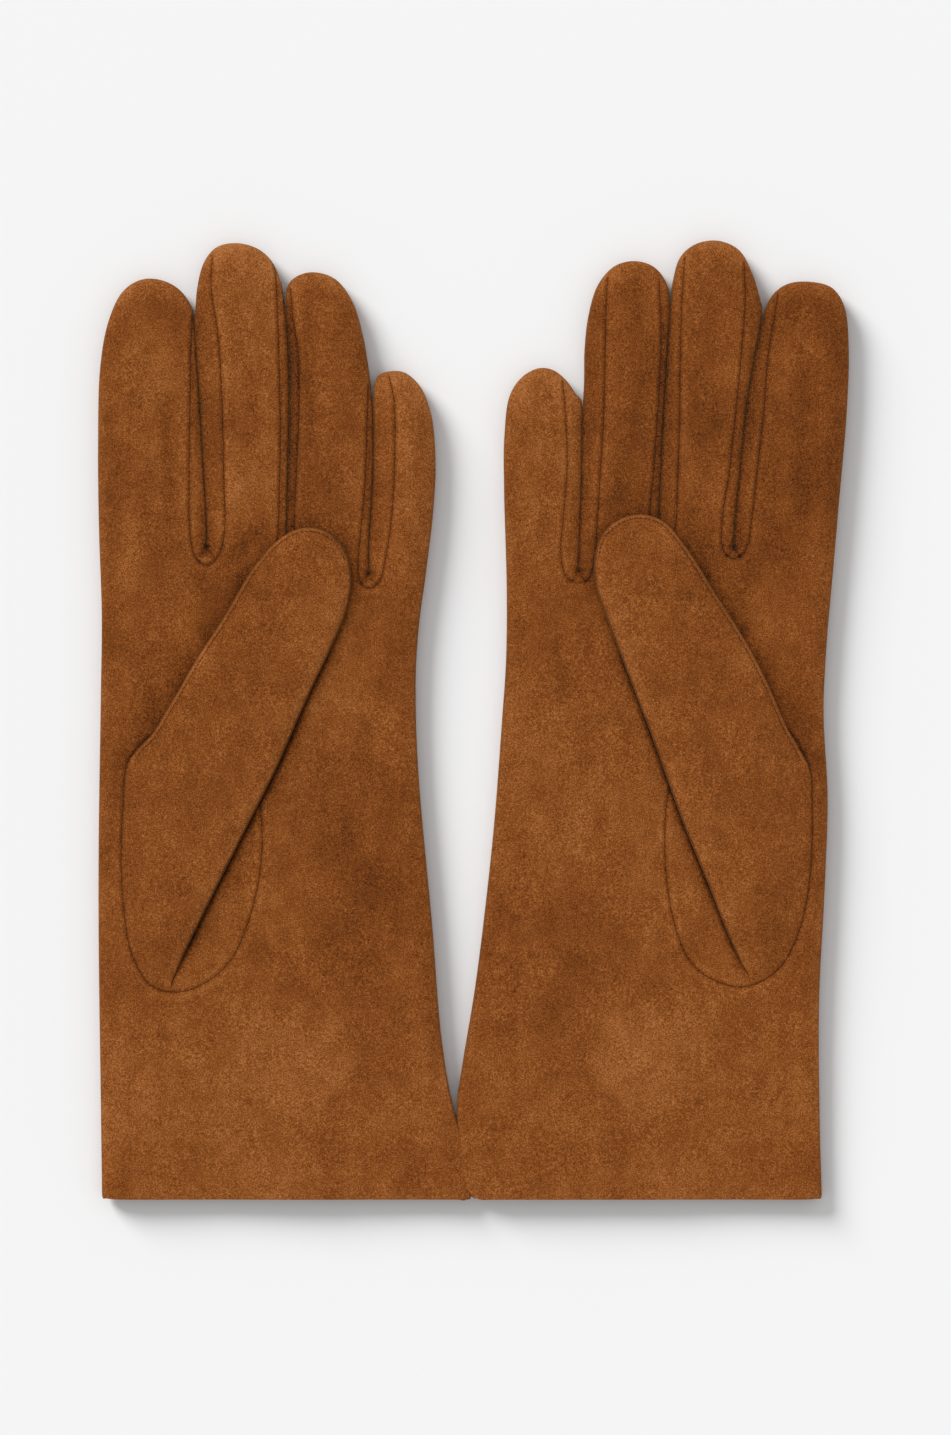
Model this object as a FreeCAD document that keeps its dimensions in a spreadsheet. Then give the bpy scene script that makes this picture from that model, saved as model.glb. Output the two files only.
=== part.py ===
import FreeCAD, Part

import math
import os

import Sketcher

# A pair of lined suede gloves lying palms up, side by side, with the thumbs folded over the palms.
# Each glove is drawn in its own flat frame: "across" runs from the index side towards the little
# finger and "along" from the cuff edge towards the fingertips. The right glove is the same frame
# turned over about its length, so its "across" values are taken the other way along X.

# ---------------------------------------------------------------- driving dimensions, in mm

COMMON = {
    "Thickness": 8.0,          # a hand or finger lying flat, outside to outside
    "ThumbThickness": 7.5,
    "ThumbGap": 0.3,           # air between the folded thumb and the palm
    "Leather": 0.8,
    "Lining": 0.6,
    "Clearance": 0.1,          # between the leather and the lining inside it
    "SeamWidth": 0.5,          # the thread line between two sewn edges
    "ThreadDepth": 0.6,
    "HemDepth": 22.0,          # how far the cuff's edge is turned in
    "EdgeRadius": 1.4,
    "Overrun": 2.0,            # how far a cut runs out past an open end
    "HalfLength": 141.35,
    "LeftOffset": -110.51,
    "RightOffset": 111.09,
}

# Across values of the two sides of the hand, from the cuff up to the finger roots.
HAND = {
    "Left": {
        "NearCuff": (1.2, 0.0), "NearHem": (1.0, 22.0), "NearPalm": (0.2, 100.0),
        "NearWaist": (0.9, 150.0), "NearSide": (0.9, 175.0),
        "FarCuff": (110.1, 0.0), "FarHem": (106.0, 22.0), "FarPalm": (97.0, 95.0),
        "FarWaist": (93.9, 150.0), "FarSide": (95.4, 175.0),
    },
    "Right": {
        "NearCuff": (8.0, 0.0), "NearHem": (8.6, 22.0), "NearPalm": (7.2, 95.0),
        "NearWaist": (7.4, 146.0), "NearSide": (5.6, 175.0),
        "FarCuff": (111.1, 0.0), "FarHem": (115.1, 22.0), "FarPalm": (106.2, 97.0),
        "FarWaist": (101.2, 158.0), "FarSide": (100.8, 176.0),
    },
}

# Where each finger starts to bend, and its outline seen from the palm: root, belly and shoulder on
# the side nearer the thumb, the tip, then shoulder, belly and root on the side farther from it.
HINGE = {
    "Left": {"Index": 197.0, "Middle": 203.0, "Ring": 203.0, "Little": 194.0},
    "Right": {"Index": 200.0, "Middle": 206.0, "Ring": 206.0, "Little": 195.0},
}
OUTLINE_NAMES = ("NearBelly", "NearShoulder", "Tip", "FarShoulder", "FarBelly")
FINGER = {
    "Left": {
        "Index": (0.5, (0.1, 228.0), (3.0, 258.5), (14.5, 271.8), (27.9, 259.5), (29.9, 230.0), 31.4),
        "Middle": (32.8, (30.9, 235.0), (29.9, 267.5), (41.5, 282.0), (54.0, 269.5), (55.8, 237.0), 54.9),
        "Ring": (56.3, (57.2, 237.0), (56.2, 265.0), (65.0, 273.4), (75.6, 262.8), (80.4, 230.0), 79.7),
        "Little": (80.9, (82.2, 218.0), (82.6, 238.0), (88.8, 244.2), (96.0, 238.0), (99.5, 217.0), 98.0),
    },
    "Right": {
        "Index": (3.5, (0.8, 228.0), (1.0, 261.5), (12.0, 271.2), (24.0, 261.5), (29.6, 232.0), 32.8),
        "Middle": (34.3, (31.4, 232.0), (27.2, 264.0), (39.3, 282.7), (51.7, 268.5), (54.0, 234.0), 55.2),
        "Ring": (56.6, (55.4, 234.0), (53.9, 268.0), (63.6, 276.8), (75.3, 266.0), (78.3, 236.0), 78.5),
        "Little": (80.0, (79.6, 214.0), (81.0, 235.0), (90.6, 245.2), (100.2, 236.0), (102.0, 218.0), 101.2),
    },
}

# The sewn edges that run up a finger: root across, belly and end. Between such an edge and the
# finger's outline lies its fourchette.
SEAM_NAMES = ("Belly", "End")
SEAM = {
    "Left": {
        "IndexFar": (27.4, (27.2, 226.0), (26.2, 256.5)),
        "MiddleNear": (37.6, (36.8, 235.0), (33.0, 266.5)),
        "MiddleFar": (53.4, (53.8, 235.0), (52.0, 267.5)),
        "RingNear": (58.2, (59.3, 235.0), (58.4, 262.0)),
        "RingFar": (78.1, (78.9, 226.0), (74.4, 259.5)),
        "LittleNear": (85.9, (87.5, 216.0), (86.6, 236.0)),
    },
    "Right": {
        "IndexFar": (28.9, (25.6, 230.0), (21.9, 259.0)),
        "MiddleNear": (37.2, (33.5, 233.0), (31.0, 261.0)),
        "MiddleFar": (50.8, (50.1, 235.0), (49.2, 266.5)),
        "RingNear": (58.8, (57.0, 234.0), (55.8, 264.5)),
        "RingFar": (74.0, (72.4, 235.0), (72.0, 264.0)),
        "LittleNear": (84.9, (83.3, 215.0), (84.0, 233.5)),
    },
}

# Each fork between two fingers: the two ends and the bottom of the edge cut in the hand's leather,
# then how far along the crotch between the fingers starts.
FORKS = (("Index", "Middle"), ("Middle", "Ring"), ("Ring", "Little"))
FORK = {
    "Left": {
        "IndexMiddle": ((27.4, 194.0), (32.3, 186.6), (37.6, 194.0), 190.4),
        "MiddleRing": ((53.4, 194.0), (55.7, 186.6), (58.2, 194.0), 189.6),
        "RingLittle": ((77.3, 188.0), (80.8, 180.0), (85.4, 188.0), 184.8),
    },
    "Right": {
        "IndexMiddle": ((29.4, 195.5), (33.9, 188.6), (37.9, 195.0), 192.6),
        "MiddleRing": ((51.2, 198.0), (55.2, 189.4), (58.8, 198.0), 193.0),
        "RingLittle": ((75.2, 188.0), (79.8, 181.4), (85.0, 188.0), 185.6),
    },
}

# The thumb folded over the palm: up the inner crease, round the tip, down the outer edge.
THUMB_NAMES = ("Apex", "Crease", "CreaseEnd", "TipInner", "Tip", "TipOuter", "Shoulder",
               "Back", "Elbow", "Fold", "Base", "Heel")
THUMB = {
    "Left": ((23.4, 67.0), (49.0, 119.0), (73.0, 171.5), (73.6, 190.5), (61.5, 197.8), (54.5, 195.0),
             (46.4, 185.9), (29.8, 160.2), (9.8, 129.0), (8.3, 101.0), (13.0, 70.0), (18.0, 66.6)),
    "Right": ((32.0, 70.0), (53.0, 121.5), (73.6, 176.0), (74.2, 194.5), (62.0, 201.7), (54.8, 199.9),
              (48.0, 191.3), (33.6, 169.0), (13.0, 128.0), (12.3, 103.0), (19.0, 73.0), (25.0, 68.2)),
}

# The oval that the thumb is sewn into, and the way through it from the hand into the thumb:
# centre, half width and half length.
OVAL_NAMES = ("Across", "Along", "HalfWidth", "HalfLength")
OVAL = {"Left": (27.8, 100.0, 20.7, 39.0), "Right": (32.8, 104.0, 21.6, 41.2)}
PASSAGE = {"Left": (21.0, 102.0, 8.0, 20.0), "Right": (25.4, 106.0, 8.0, 20.0)}

# ---------------------------------------------------------------- sheet and sizes

SHEET = "Dims"
SIDES = ("Left", "Right")
MIRROR = {"Left": 1.0, "Right": -1.0}


class Size:
    """A length together with the spreadsheet expression that gives it."""

    def __init__(self, value, text):
        self.value = value
        self.text = text

    def __add__(self, other):
        return Size(self.value + other.value, "%s + %s" % (self.text, other.text))

    def __sub__(self, other):
        return Size(self.value - other.value, "%s - (%s)" % (self.text, other.text))

    def times(self, factor):
        return Size(self.value * factor, "%.6f * (%s)" % (factor, self.text))


class Sizes:
    """The spreadsheet of driving dimensions, filled in one row at a time."""

    def __init__(self, document):
        self.sheet = document.addObject("Spreadsheet::Sheet", SHEET)
        self.values = {}

    def add(self, name, value):
        row = len(self.values) + 1
        self.sheet.set("A%d" % row, name)
        self.sheet.set("B%d" % row, "%g" % value)
        self.sheet.setAlias("B%d" % row, name)
        self.values[name] = value

    def add_place(self, name, place):
        self.add(name + "Across", place[0])
        self.add(name + "Along", place[1])

    def get(self, name):
        return Size(self.values[name], "%s.%s" % (SHEET, name))

    def place(self, name):
        return (self.get(name + "Across"), self.get(name + "Along"))


def fill_sheet(sizes):
    for name, value in COMMON.items():
        sizes.add(name, value)
    for side in SIDES:
        for name, place in HAND[side].items():
            sizes.add_place(side + name, place)
        for finger, row in FINGER[side].items():
            stem = side + finger
            sizes.add_place(stem + "NearRoot", (row[0], HINGE[side][finger]))
            sizes.add_place(stem + "FarRoot", (row[-1], HINGE[side][finger]))
            for name, place in zip(OUTLINE_NAMES, row[1:-1]):
                sizes.add_place(stem + name, place)
        for seam, row in SEAM[side].items():
            finger = seam.replace("Near", "").replace("Far", "")
            sizes.add_place(side + seam + "SeamRoot", (row[0], HINGE[side][finger]))
            for name, place in zip(SEAM_NAMES, row[1:]):
                sizes.add_place(side + seam + "Seam" + name, place)
        for fork, (near, bottom, far, crotch) in FORK[side].items():
            sizes.add_place(side + fork + "CutNear", near)
            sizes.add_place(side + fork + "CutBottom", bottom)
            sizes.add_place(side + fork + "CutFar", far)
            sizes.add(side + fork + "Crotch", crotch)
        for name, place in zip(THUMB_NAMES, THUMB[side]):
            sizes.add_place(side + "Thumb" + name, place)
        for table, stem in ((OVAL, "Oval"), (PASSAGE, "Passage")):
            for name, value in zip(OVAL_NAMES, table[side]):
                sizes.add(side + stem + name, value)


# ---------------------------------------------------------------- outlines

# An outline is a list of stretches, walked anticlockwise seen from above. Each stretch is
# (via, end, is_mouth): an arc through via, or a line where via is None. A mouth is an open end.


def line(end):
    return (None, end, False)


def arc(via, end):
    return (via, end, False)


def mouth(end):
    return (None, end, True)


def values(place):
    return (place[0].value, place[1].value)


def circle_centre(first, second, third):
    (ax, ay), (bx, by), (cx, cy) = first, second, third
    twice = 2.0 * (ax * (by - cy) + bx * (cy - ay) + cx * (ay - by))
    a2, b2, c2 = ax * ax + ay * ay, bx * bx + by * by, cx * cx + cy * cy
    centre_x = (a2 * (by - cy) + b2 * (cy - ay) + c2 * (ay - by)) / twice
    centre_y = (a2 * (cx - bx) + b2 * (ax - cx) + c2 * (bx - ax)) / twice
    return (centre_x, centre_y)


def inward_normal(start, via, end, at):
    """The unit normal to the left of a stretch walked from start to end, at one of its points."""
    if via is None:
        along = (end[0] - start[0], end[1] - start[1])
    else:
        centre = circle_centre(start, via, end)
        along = (-(at[1] - centre[1]), at[0] - centre[0])
        turn = (via[0] - start[0]) * (end[1] - via[1]) - (via[1] - start[1]) * (end[0] - via[0])
        if turn < 0:
            along = (-along[0], -along[1])
    length = math.hypot(*along)
    return (-along[1] / length, along[0] / length)


def shifted(place, first, first_normal, second, second_normal):
    """A corner moved so that it lies first and second inside its two stretches."""
    cross = first_normal[0] * second_normal[1] - first_normal[1] * second_normal[0]
    if abs(cross) < 0.02:
        return (place[0] + first.times(first_normal[0]), place[1] + first.times(first_normal[1]))
    across = first.times(second_normal[1] / cross) - second.times(first_normal[1] / cross)
    along = second.times(first_normal[0] / cross) - first.times(second_normal[0] / cross)
    return (place[0] + across, place[1] + along)


def inset(outline, amount, overrun):
    """The same outline moved inwards by amount, and outwards by overrun at its mouths."""
    result = []
    count = len(outline)
    for number, (via, end, is_mouth) in enumerate(outline):
        start = outline[number - 1][1]
        next_via, next_end, next_mouth = outline[(number + 1) % count]
        ends = (values(start), values(via) if via else None, values(end))
        here = inward_normal(*ends, values(end))
        following = (values(end), values(next_via) if next_via else None, values(next_end))
        there = inward_normal(*following, values(end))
        first = overrun.times(-1.0) if is_mouth else amount
        second = overrun.times(-1.0) if next_mouth else amount
        new_via = None
        if via:
            normal = inward_normal(*ends, values(via))
            new_via = (via[0] + amount.times(normal[0]), via[1] + amount.times(normal[1]))
        result.append((new_via, shifted(end, first, here, second, there), is_mouth))
    return result


def moved(place, across=None, along=None):
    new_across = place[0] + across if across else place[0]
    new_along = place[1] + along if along else place[1]
    return (new_across, new_along)


# ---------------------------------------------------------------- bodies and features


class Glove:
    """One glove: its name prefix, its places in the sheet, and the bodies made for it."""

    def __init__(self, document, sizes, side):
        self.document = document
        self.sizes = sizes
        self.side = side
        self.mirror = MIRROR[side]
        self.bodies = []

    def size(self, name):
        return self.sizes.get(name)

    def place(self, name):
        return self.sizes.place(self.side + name)

    def body(self, name):
        body = self.document.addObject("PartDesign::Body", "%s_%s" % (self.side.lower(), name))
        body.Label = body.Name
        body.setExpression("Placement.Base.x", "%s.%sOffset" % (SHEET, self.side))
        body.setExpression("Placement.Base.y", "-%s.HalfLength" % SHEET)
        self.bodies.append(body)
        return body

    def sketch(self, body, level):
        sketch = body.newObject("Sketcher::SketchObject", body.Name + "_sketch")
        plane = [item for item in body.Origin.OriginFeatures if item.Role == "XY_Plane"][0]
        sketch.AttachmentSupport = [(plane, "")]
        sketch.MapMode = "FlatFace"
        sketch.setExpression("AttachmentOffset.Base.z", level.text)
        return sketch

    def vector(self, place):
        return FreeCAD.Vector(self.mirror * place[0].value, place[1].value, 0.0)

    def fixing(self, geometry, position, place):
        """The two constraints that tie a sketch point to its place, with their expressions."""
        target = self.vector(place)
        return [
            (Sketcher.Constraint("DistanceX", -1, 1, geometry, position, target.x),
             place[0].times(self.mirror).text),
            (Sketcher.Constraint("DistanceY", -1, 1, geometry, position, target.y),
             place[1].text),
        ]

    def constrain(self, sketch, pairs):
        """Adds constraints together, and binds those that have an expression."""
        first = len(sketch.Constraints)
        sketch.addConstraint([constraint for constraint, _ in pairs])
        for number, (_, text) in enumerate(pairs):
            if text:
                sketch.setExpression("Constraints[%d]" % (first + number), text)

    def draw(self, body, outline, level):
        """A sketch of one closed outline at a level."""
        sketch = self.sketch(body, level)
        edges = []
        points = []
        for number, (via, end, _) in enumerate(outline):
            start = self.vector(outline[number - 1][1])
            if via is None:
                edges.append(Part.LineSegment(start, self.vector(end)))
            else:
                edges.append(anticlockwise_arc(start, self.vector(via), self.vector(end)))
                points.append((number, via))
        sketch.addGeometry(edges, False)
        sketch.addGeometry([Part.Point(self.vector(via)) for _, via in points], True)
        pairs = []
        for number, (_, end, _) in enumerate(outline):
            following = (number + 1) % len(edges)
            corner = self.vector(end)
            here_end = nearest_end(sketch, number, corner)
            following_end = nearest_end(sketch, following, corner)
            joint = Sketcher.Constraint("Coincident", number, here_end, following, following_end)
            pairs.append((joint, None))
            pairs += self.fixing(number, here_end, end)
        for number, (edge, via) in enumerate(points):
            point = len(edges) + number
            pairs.append((Sketcher.Constraint("PointOnObject", point, 1, edge), None))
            pairs += self.fixing(point, 1, via)
        self.constrain(sketch, pairs)
        return sketch

    def draw_oval(self, body, stem, grow, level):
        """A sketch of one ellipse with its long axis along the glove."""
        sketch = self.sketch(body, level)
        centre = self.place(stem)
        half_width = self.size(self.side + stem + "HalfWidth") + grow
        half_length = self.size(self.side + stem + "HalfLength") + grow
        middle = self.vector(centre)
        top = middle + FreeCAD.Vector(0, half_length.value, 0)
        flank = middle + FreeCAD.Vector(half_width.value, 0, 0)
        ellipse = sketch.addGeometry(Part.Ellipse(top, flank, middle), False)
        sketch.exposeInternalGeometry(ellipse)
        pairs = self.fixing(ellipse, 3, centre)
        pairs.append((Sketcher.Constraint("Vertical", ellipse + 1), None))
        for geometry, half in ((ellipse + 1, half_length), (ellipse + 2, half_width)):
            diameter = half.times(2.0)
            pairs.append((Sketcher.Constraint("Distance", geometry, diameter.value), diameter.text))
        self.constrain(sketch, pairs)
        return sketch

    def pad(self, body, sketch, height):
        pad = body.newObject("PartDesign::Pad", body.Name + "_pad")
        pad.Profile = sketch
        pad.setExpression("Length", height.text)
        return pad

    def pocket(self, body, sketch, height):
        """A cut from the sketch's level upwards."""
        pocket = body.newObject("PartDesign::Pocket", body.Name + "_pocket")
        pocket.Profile = sketch
        pocket.Reversed = True
        pocket.setExpression("Length", height.text)
        return pocket

    def round_edges(self, body, feature, places, levels):
        """Rounds the long outer edges that pass through the given places, top and bottom."""
        self.document.recompute()
        names = []
        for number, edge in enumerate(feature.Shape.Edges):
            for place in places:
                for level in levels:
                    spot = self.vector(place) + FreeCAD.Vector(0, 0, level.value)
                    if edge.distToShape(Part.Vertex(spot))[0] < 0.001:
                        names.append("Edge%d" % (number + 1))
        fillet = body.newObject("PartDesign::Fillet", body.Name + "_fillet")
        fillet.Base = (feature, names)
        fillet.setExpression("Radius", self.size("EdgeRadius").text)


def anticlockwise_arc(start, via, end):
    """A sketch counts an arc's ends anticlockwise, whichever way it is walked."""
    turn = (via - start).cross(end - via).z
    return Part.Arc(start, via, end) if turn > 0 else Part.Arc(end, via, start)


def nearest_end(sketch, geometry, corner):
    curve = sketch.Geometry[geometry]
    to_start = curve.StartPoint.distanceToPoint(corner)
    return 1 if to_start < curve.EndPoint.distanceToPoint(corner) else 2


# ---------------------------------------------------------------- the outlines of a glove


def crotch_slot(glove, near_finger, far_finger):
    """Down one side of a crotch and up the other, walked from the far finger to the near one."""
    near = glove.place(near_finger + "FarRoot")
    far = glove.place(far_finger + "NearRoot")
    bottom = glove.size(glove.side + near_finger + far_finger + "Crotch")
    radius = (far[0] - near[0]).times(0.5)
    shoulder = bottom + radius
    middle = (near[0] + radius, bottom)
    return [line((far[0], shoulder)), arc(middle, (near[0], shoulder)), line(near)]


def hand_outline(glove):
    """The whole hand seen from the palm, with the crotches between its finger roots."""
    outline = [
        mouth(glove.place("FarCuff")),
        line(glove.place("FarHem")),
        arc(glove.place("FarPalm"), glove.place("FarWaist")),
        arc(glove.place("FarSide"), glove.place("LittleFarRoot")),
    ]
    for near_finger, far_finger in reversed(FORKS):
        outline.append(mouth(glove.place(far_finger + "NearRoot")))
        outline += crotch_slot(glove, near_finger, far_finger)
    outline += [
        mouth(glove.place("IndexNearRoot")),
        arc(glove.place("NearSide"), glove.place("NearWaist")),
        arc(glove.place("NearPalm"), glove.place("NearHem")),
        line(glove.place("NearCuff")),
    ]
    return outline


def fork_cut(glove, near_finger, far_finger, gap):
    """The edge cut in the leather round a fork, from the far finger to the near one."""
    stem = near_finger + far_finger
    back = gap.times(-1.0)
    return [
        mouth(moved(glove.place(far_finger + "NearSeamRoot"), across=back)),
        line(moved(glove.place(stem + "CutFar"), across=back)),
        arc(moved(glove.place(stem + "CutBottom"), along=gap),
            moved(glove.place(stem + "CutNear"), across=gap)),
        line(moved(glove.place(near_finger + "FarSeamRoot"), across=gap)),
    ]


def trank_outline(glove, none):
    """The hand's leather: the hand's outline with the wider fork cuts in place of the crotches."""
    outline = hand_outline(glove)[:4]
    for near_finger, far_finger in reversed(FORKS):
        outline += fork_cut(glove, near_finger, far_finger, none)
    return outline + hand_outline(glove)[-4:]


def hem_outline(glove):
    return [
        mouth(glove.place("FarCuff")),
        line(glove.place("FarHem")),
        mouth(glove.place("NearHem")),
        line(glove.place("NearCuff")),
    ]


def lining_outline(glove):
    """The part of the hand above the turned-in hem."""
    outline = hand_outline(glove)
    clearance = glove.size("Clearance")
    near = moved(glove.place("NearHem"), along=clearance)
    far = moved(glove.place("FarHem"), along=clearance)
    inner = outline[2:-2]
    near_palm = outline[-2][0]
    return [mouth(far)] + inner + [arc(near_palm, near)]


def finger_outline(glove, finger):
    def place(name):
        return glove.place(finger + name)

    return [
        mouth(place("FarRoot")),
        arc(place("FarBelly"), place("FarShoulder")),
        arc(place("Tip"), place("NearShoulder")),
        arc(place("NearBelly"), place("NearRoot")),
    ]


def finger_leather_outline(glove, finger, sewn):
    """Palm and back of one finger: up to a seam where it is sewn, else round to the other face."""
    def place(name):
        return glove.place(finger + name)

    if "Far" in sewn:
        far = [
            mouth(place("FarSeamRoot")),
            arc(place("FarSeamBelly"), place("FarSeamEnd")),
            line(place("FarShoulder")),
        ]
    else:
        far = [mouth(place("FarRoot")), arc(place("FarBelly"), place("FarShoulder"))]
    if "Near" in sewn:
        near = [line(place("NearSeamEnd")), arc(place("NearSeamBelly"), place("NearSeamRoot"))]
    else:
        near = [arc(place("NearBelly"), place("NearRoot"))]
    return far + [arc(place("Tip"), place("NearShoulder"))] + near


def fourchette_outline(glove, finger, flank):
    """The side strip of a finger, between its sewn edge and the finger's outline."""
    def place(name):
        return glove.place(finger + flank + name)

    sign = 1.0 if flank == "Far" else -1.0
    gap = glove.size("SeamWidth").times(sign)
    drop = glove.size("SeamWidth").times(-1.0)
    root = moved(place("SeamRoot"), across=gap)
    belly = moved(place("SeamBelly"), across=gap)
    end = moved(place("SeamEnd"), across=gap)
    shoulder = moved(place("Shoulder"), along=drop)
    if flank == "Far":
        return [mouth(place("Root")), arc(place("Belly"), shoulder), line(end), arc(belly, root)]
    return [mouth(root), arc(belly, end), line(shoulder), arc(place("Belly"), place("Root"))]


def seam_outline(glove, finger, flank):
    """The thread line up one side of a finger."""
    def place(name):
        return glove.place(finger + flank + "Seam" + name)

    sign = 1.0 if flank == "Far" else -1.0
    gap = glove.size("SeamWidth").times(sign)
    root = moved(place("Root"), across=gap)
    belly = moved(place("Belly"), across=gap)
    end = moved(place("End"), across=gap)
    if flank == "Far":
        return [mouth(root), arc(belly, end), line(place("End")), arc(place("Belly"), place("Root"))]
    return [mouth(place("Root")), arc(place("Belly"), place("End")), line(end), arc(belly, root)]


def backwards(path):
    """The same stretches walked the other way, from the last end to the first."""
    turned = []
    for number in range(len(path) - 1, 0, -1):
        turned.append((path[number][0], path[number - 1][1], False))
    return turned


def fork_seam_outline(glove, near_finger, far_finger, none):
    """The thread line round a fork, between the hand's leather and the quirk."""
    outer = fork_cut(glove, near_finger, far_finger, none)
    inner = fork_cut(glove, near_finger, far_finger, glove.size("SeamWidth"))
    return outer[1:] + [line(inner[-1][1])] + backwards(inner) + [line(outer[0][1])]


def quirk_outline(glove, near_finger, far_finger):
    """The leather of a quirk seen from the palm, round its crotch."""
    outer = fork_cut(glove, near_finger, far_finger, glove.size("SeamWidth"))
    slot = crotch_slot(glove, near_finger, far_finger)
    slot_start = line(glove.place(far_finger + "NearRoot"))
    return outer[1:] + [line(slot[-1][1])] + backwards([slot_start] + slot) + [line(outer[0][1])]


def crotch_wall_outline(glove, near_finger, far_finger):
    """The upright leather round a crotch, joining a quirk's palm side to its back side."""
    near = glove.place(near_finger + "FarRoot")
    far = glove.place(far_finger + "NearRoot")
    leather = glove.size("Leather")
    slot = crotch_slot(glove, near_finger, far_finger)
    shoulder = slot[0][1][1]
    bottom = slot[1][0]
    outer = [
        line((far[0] + leather, far[1])),
        line((far[0] + leather, shoulder)),
        arc((bottom[0], bottom[1] - leather), (near[0] - leather, shoulder)),
        line((near[0] - leather, near[1])),
    ]
    slot_start = line(far)
    return outer[1:] + [line(near)] + backwards([slot_start] + slot) + [line(outer[0][1])]


def thumb_outline(glove):
    def place(name):
        return glove.place("Thumb" + name)

    return [
        arc(place("Crease"), place("CreaseEnd")),
        arc(place("TipInner"), place("Tip")),
        arc(place("TipOuter"), place("Shoulder")),
        arc(place("Back"), place("Elbow")),
        arc(place("Fold"), place("Base")),
        arc(place("Heel"), place("Apex")),
    ]


# ---------------------------------------------------------------- the sub-parts


class Levels:
    """The heights of the layers in a flat tube of leather with a lining inside."""

    def __init__(self, glove, bottom, thickness):
        leather = glove.size("Leather")
        lining = glove.size("Lining")
        self.bottom = bottom
        self.thickness = thickness
        self.top = bottom + thickness
        self.leather_low = bottom + leather
        self.leather_space = thickness - leather.times(2.0)
        self.lining_low = self.leather_low + lining
        self.lining_space = self.leather_space - lining.times(2.0)
        self.thread_high = self.top - glove.size("ThreadDepth")


def make_trank(glove, levels):
    none = glove.size("Leather").times(0.0)
    body = glove.body("trank")
    block = glove.pad(body, glove.draw(body, trank_outline(glove, none), levels.bottom),
                      levels.thickness)
    sides = [glove.place(name) for name in ("NearPalm", "NearSide", "FarPalm", "FarSide")]
    glove.round_edges(body, block, sides, (levels.bottom, levels.top))
    cavity = inset(hand_outline(glove), glove.size("Leather"), glove.size("Overrun"))
    glove.pocket(body, glove.draw(body, cavity, levels.leather_low), levels.leather_space)
    half_seam = glove.size("SeamWidth").times(0.5)
    oval_level = levels.top - glove.size("Leather")
    hole = glove.draw_oval(body, "Oval", half_seam, oval_level)
    glove.pocket(body, hole, glove.size("Leather").times(2.0))


def make_hand_lining(glove, levels):
    body = glove.body("hand_lining")
    loose = glove.size("Leather") + glove.size("Clearance")
    none = glove.size("Leather").times(0.0)
    outer = inset(lining_outline(glove), loose, none)
    glove.pad(body, glove.draw(body, outer, levels.leather_low), levels.leather_space)
    inner = inset(lining_outline(glove), loose + glove.size("Lining"), glove.size("Overrun"))
    glove.pocket(body, glove.draw(body, inner, levels.lining_low), levels.lining_space)
    passage = glove.draw_oval(body, "Passage", none, levels.lining_low + levels.lining_space)
    glove.pocket(body, passage, glove.size("Lining").times(2.0))


def make_cuff_hem(glove, levels):
    body = glove.body("cuff_hem")
    leather = glove.size("Leather")
    loose = leather + glove.size("Clearance")
    none = leather.times(0.0)
    outer = inset(hem_outline(glove), loose, none)
    glove.pad(body, glove.draw(body, outer, levels.leather_low), levels.leather_space)
    inner = inset(hem_outline(glove), loose + leather, glove.size("Overrun"))
    space = levels.leather_space - leather.times(2.0)
    glove.pocket(body, glove.draw(body, inner, levels.leather_low + leather), space)


def make_thumb_base(glove, levels):
    """The part of the thumb's leather that stays sewn into the oval, round the way through."""
    body = glove.body("thumb_base")
    leather = glove.size("Leather")
    none = leather.times(0.0)
    half_seam = glove.size("SeamWidth").times(-0.5)
    level = levels.top - leather
    glove.pad(body, glove.draw_oval(body, "Oval", half_seam, level), leather)
    glove.pocket(body, glove.draw_oval(body, "Passage", none, level), leather.times(2.0))


def make_quirk(glove, levels, near_finger, far_finger):
    body = glove.body("quirk_%s_%s" % (near_finger.lower(), far_finger.lower()))
    leather = glove.size("Leather")
    faces = quirk_outline(glove, near_finger, far_finger)
    wall = crotch_wall_outline(glove, near_finger, far_finger)
    glove.pad(body, glove.draw(body, faces, levels.bottom), leather)
    glove.pad(body, glove.draw(body, wall, levels.leather_low), levels.leather_space)
    glove.pad(body, glove.draw(body, faces, levels.top - leather), leather)


def make_hand_stitching(glove, levels):
    """Thread round the thumb's oval, and round each fork on the palm and on the back."""
    body = glove.body("hand_stitching")
    none = glove.size("Leather").times(0.0)
    half_seam = glove.size("SeamWidth").times(0.5)
    depth = glove.size("ThreadDepth")
    glove.pad(body, glove.draw_oval(body, "Oval", half_seam, levels.thread_high), depth)
    inner = glove.draw_oval(body, "Oval", half_seam.times(-1.0), levels.thread_high)
    glove.pocket(body, inner, depth.times(2.0))
    for near_finger, far_finger in FORKS:
        outline = fork_seam_outline(glove, near_finger, far_finger, none)
        for level in (levels.bottom, levels.thread_high):
            glove.pad(body, glove.draw(body, outline, level), depth)


def make_finger_leather(glove, levels, finger, sewn):
    body = glove.body(finger.lower() + "_leather")
    outline = finger_leather_outline(glove, finger, sewn)
    block = glove.pad(body, glove.draw(body, outline, levels.bottom), levels.thickness)
    folded = [glove.place(finger + flank + "Belly") for flank in ("Near", "Far")
              if flank not in sewn]
    if folded:
        glove.round_edges(body, block, folded, (levels.bottom, levels.top))
    cavity = inset(finger_outline(glove, finger), glove.size("Leather"), glove.size("Overrun"))
    glove.pocket(body, glove.draw(body, cavity, levels.leather_low), levels.leather_space)


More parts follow.
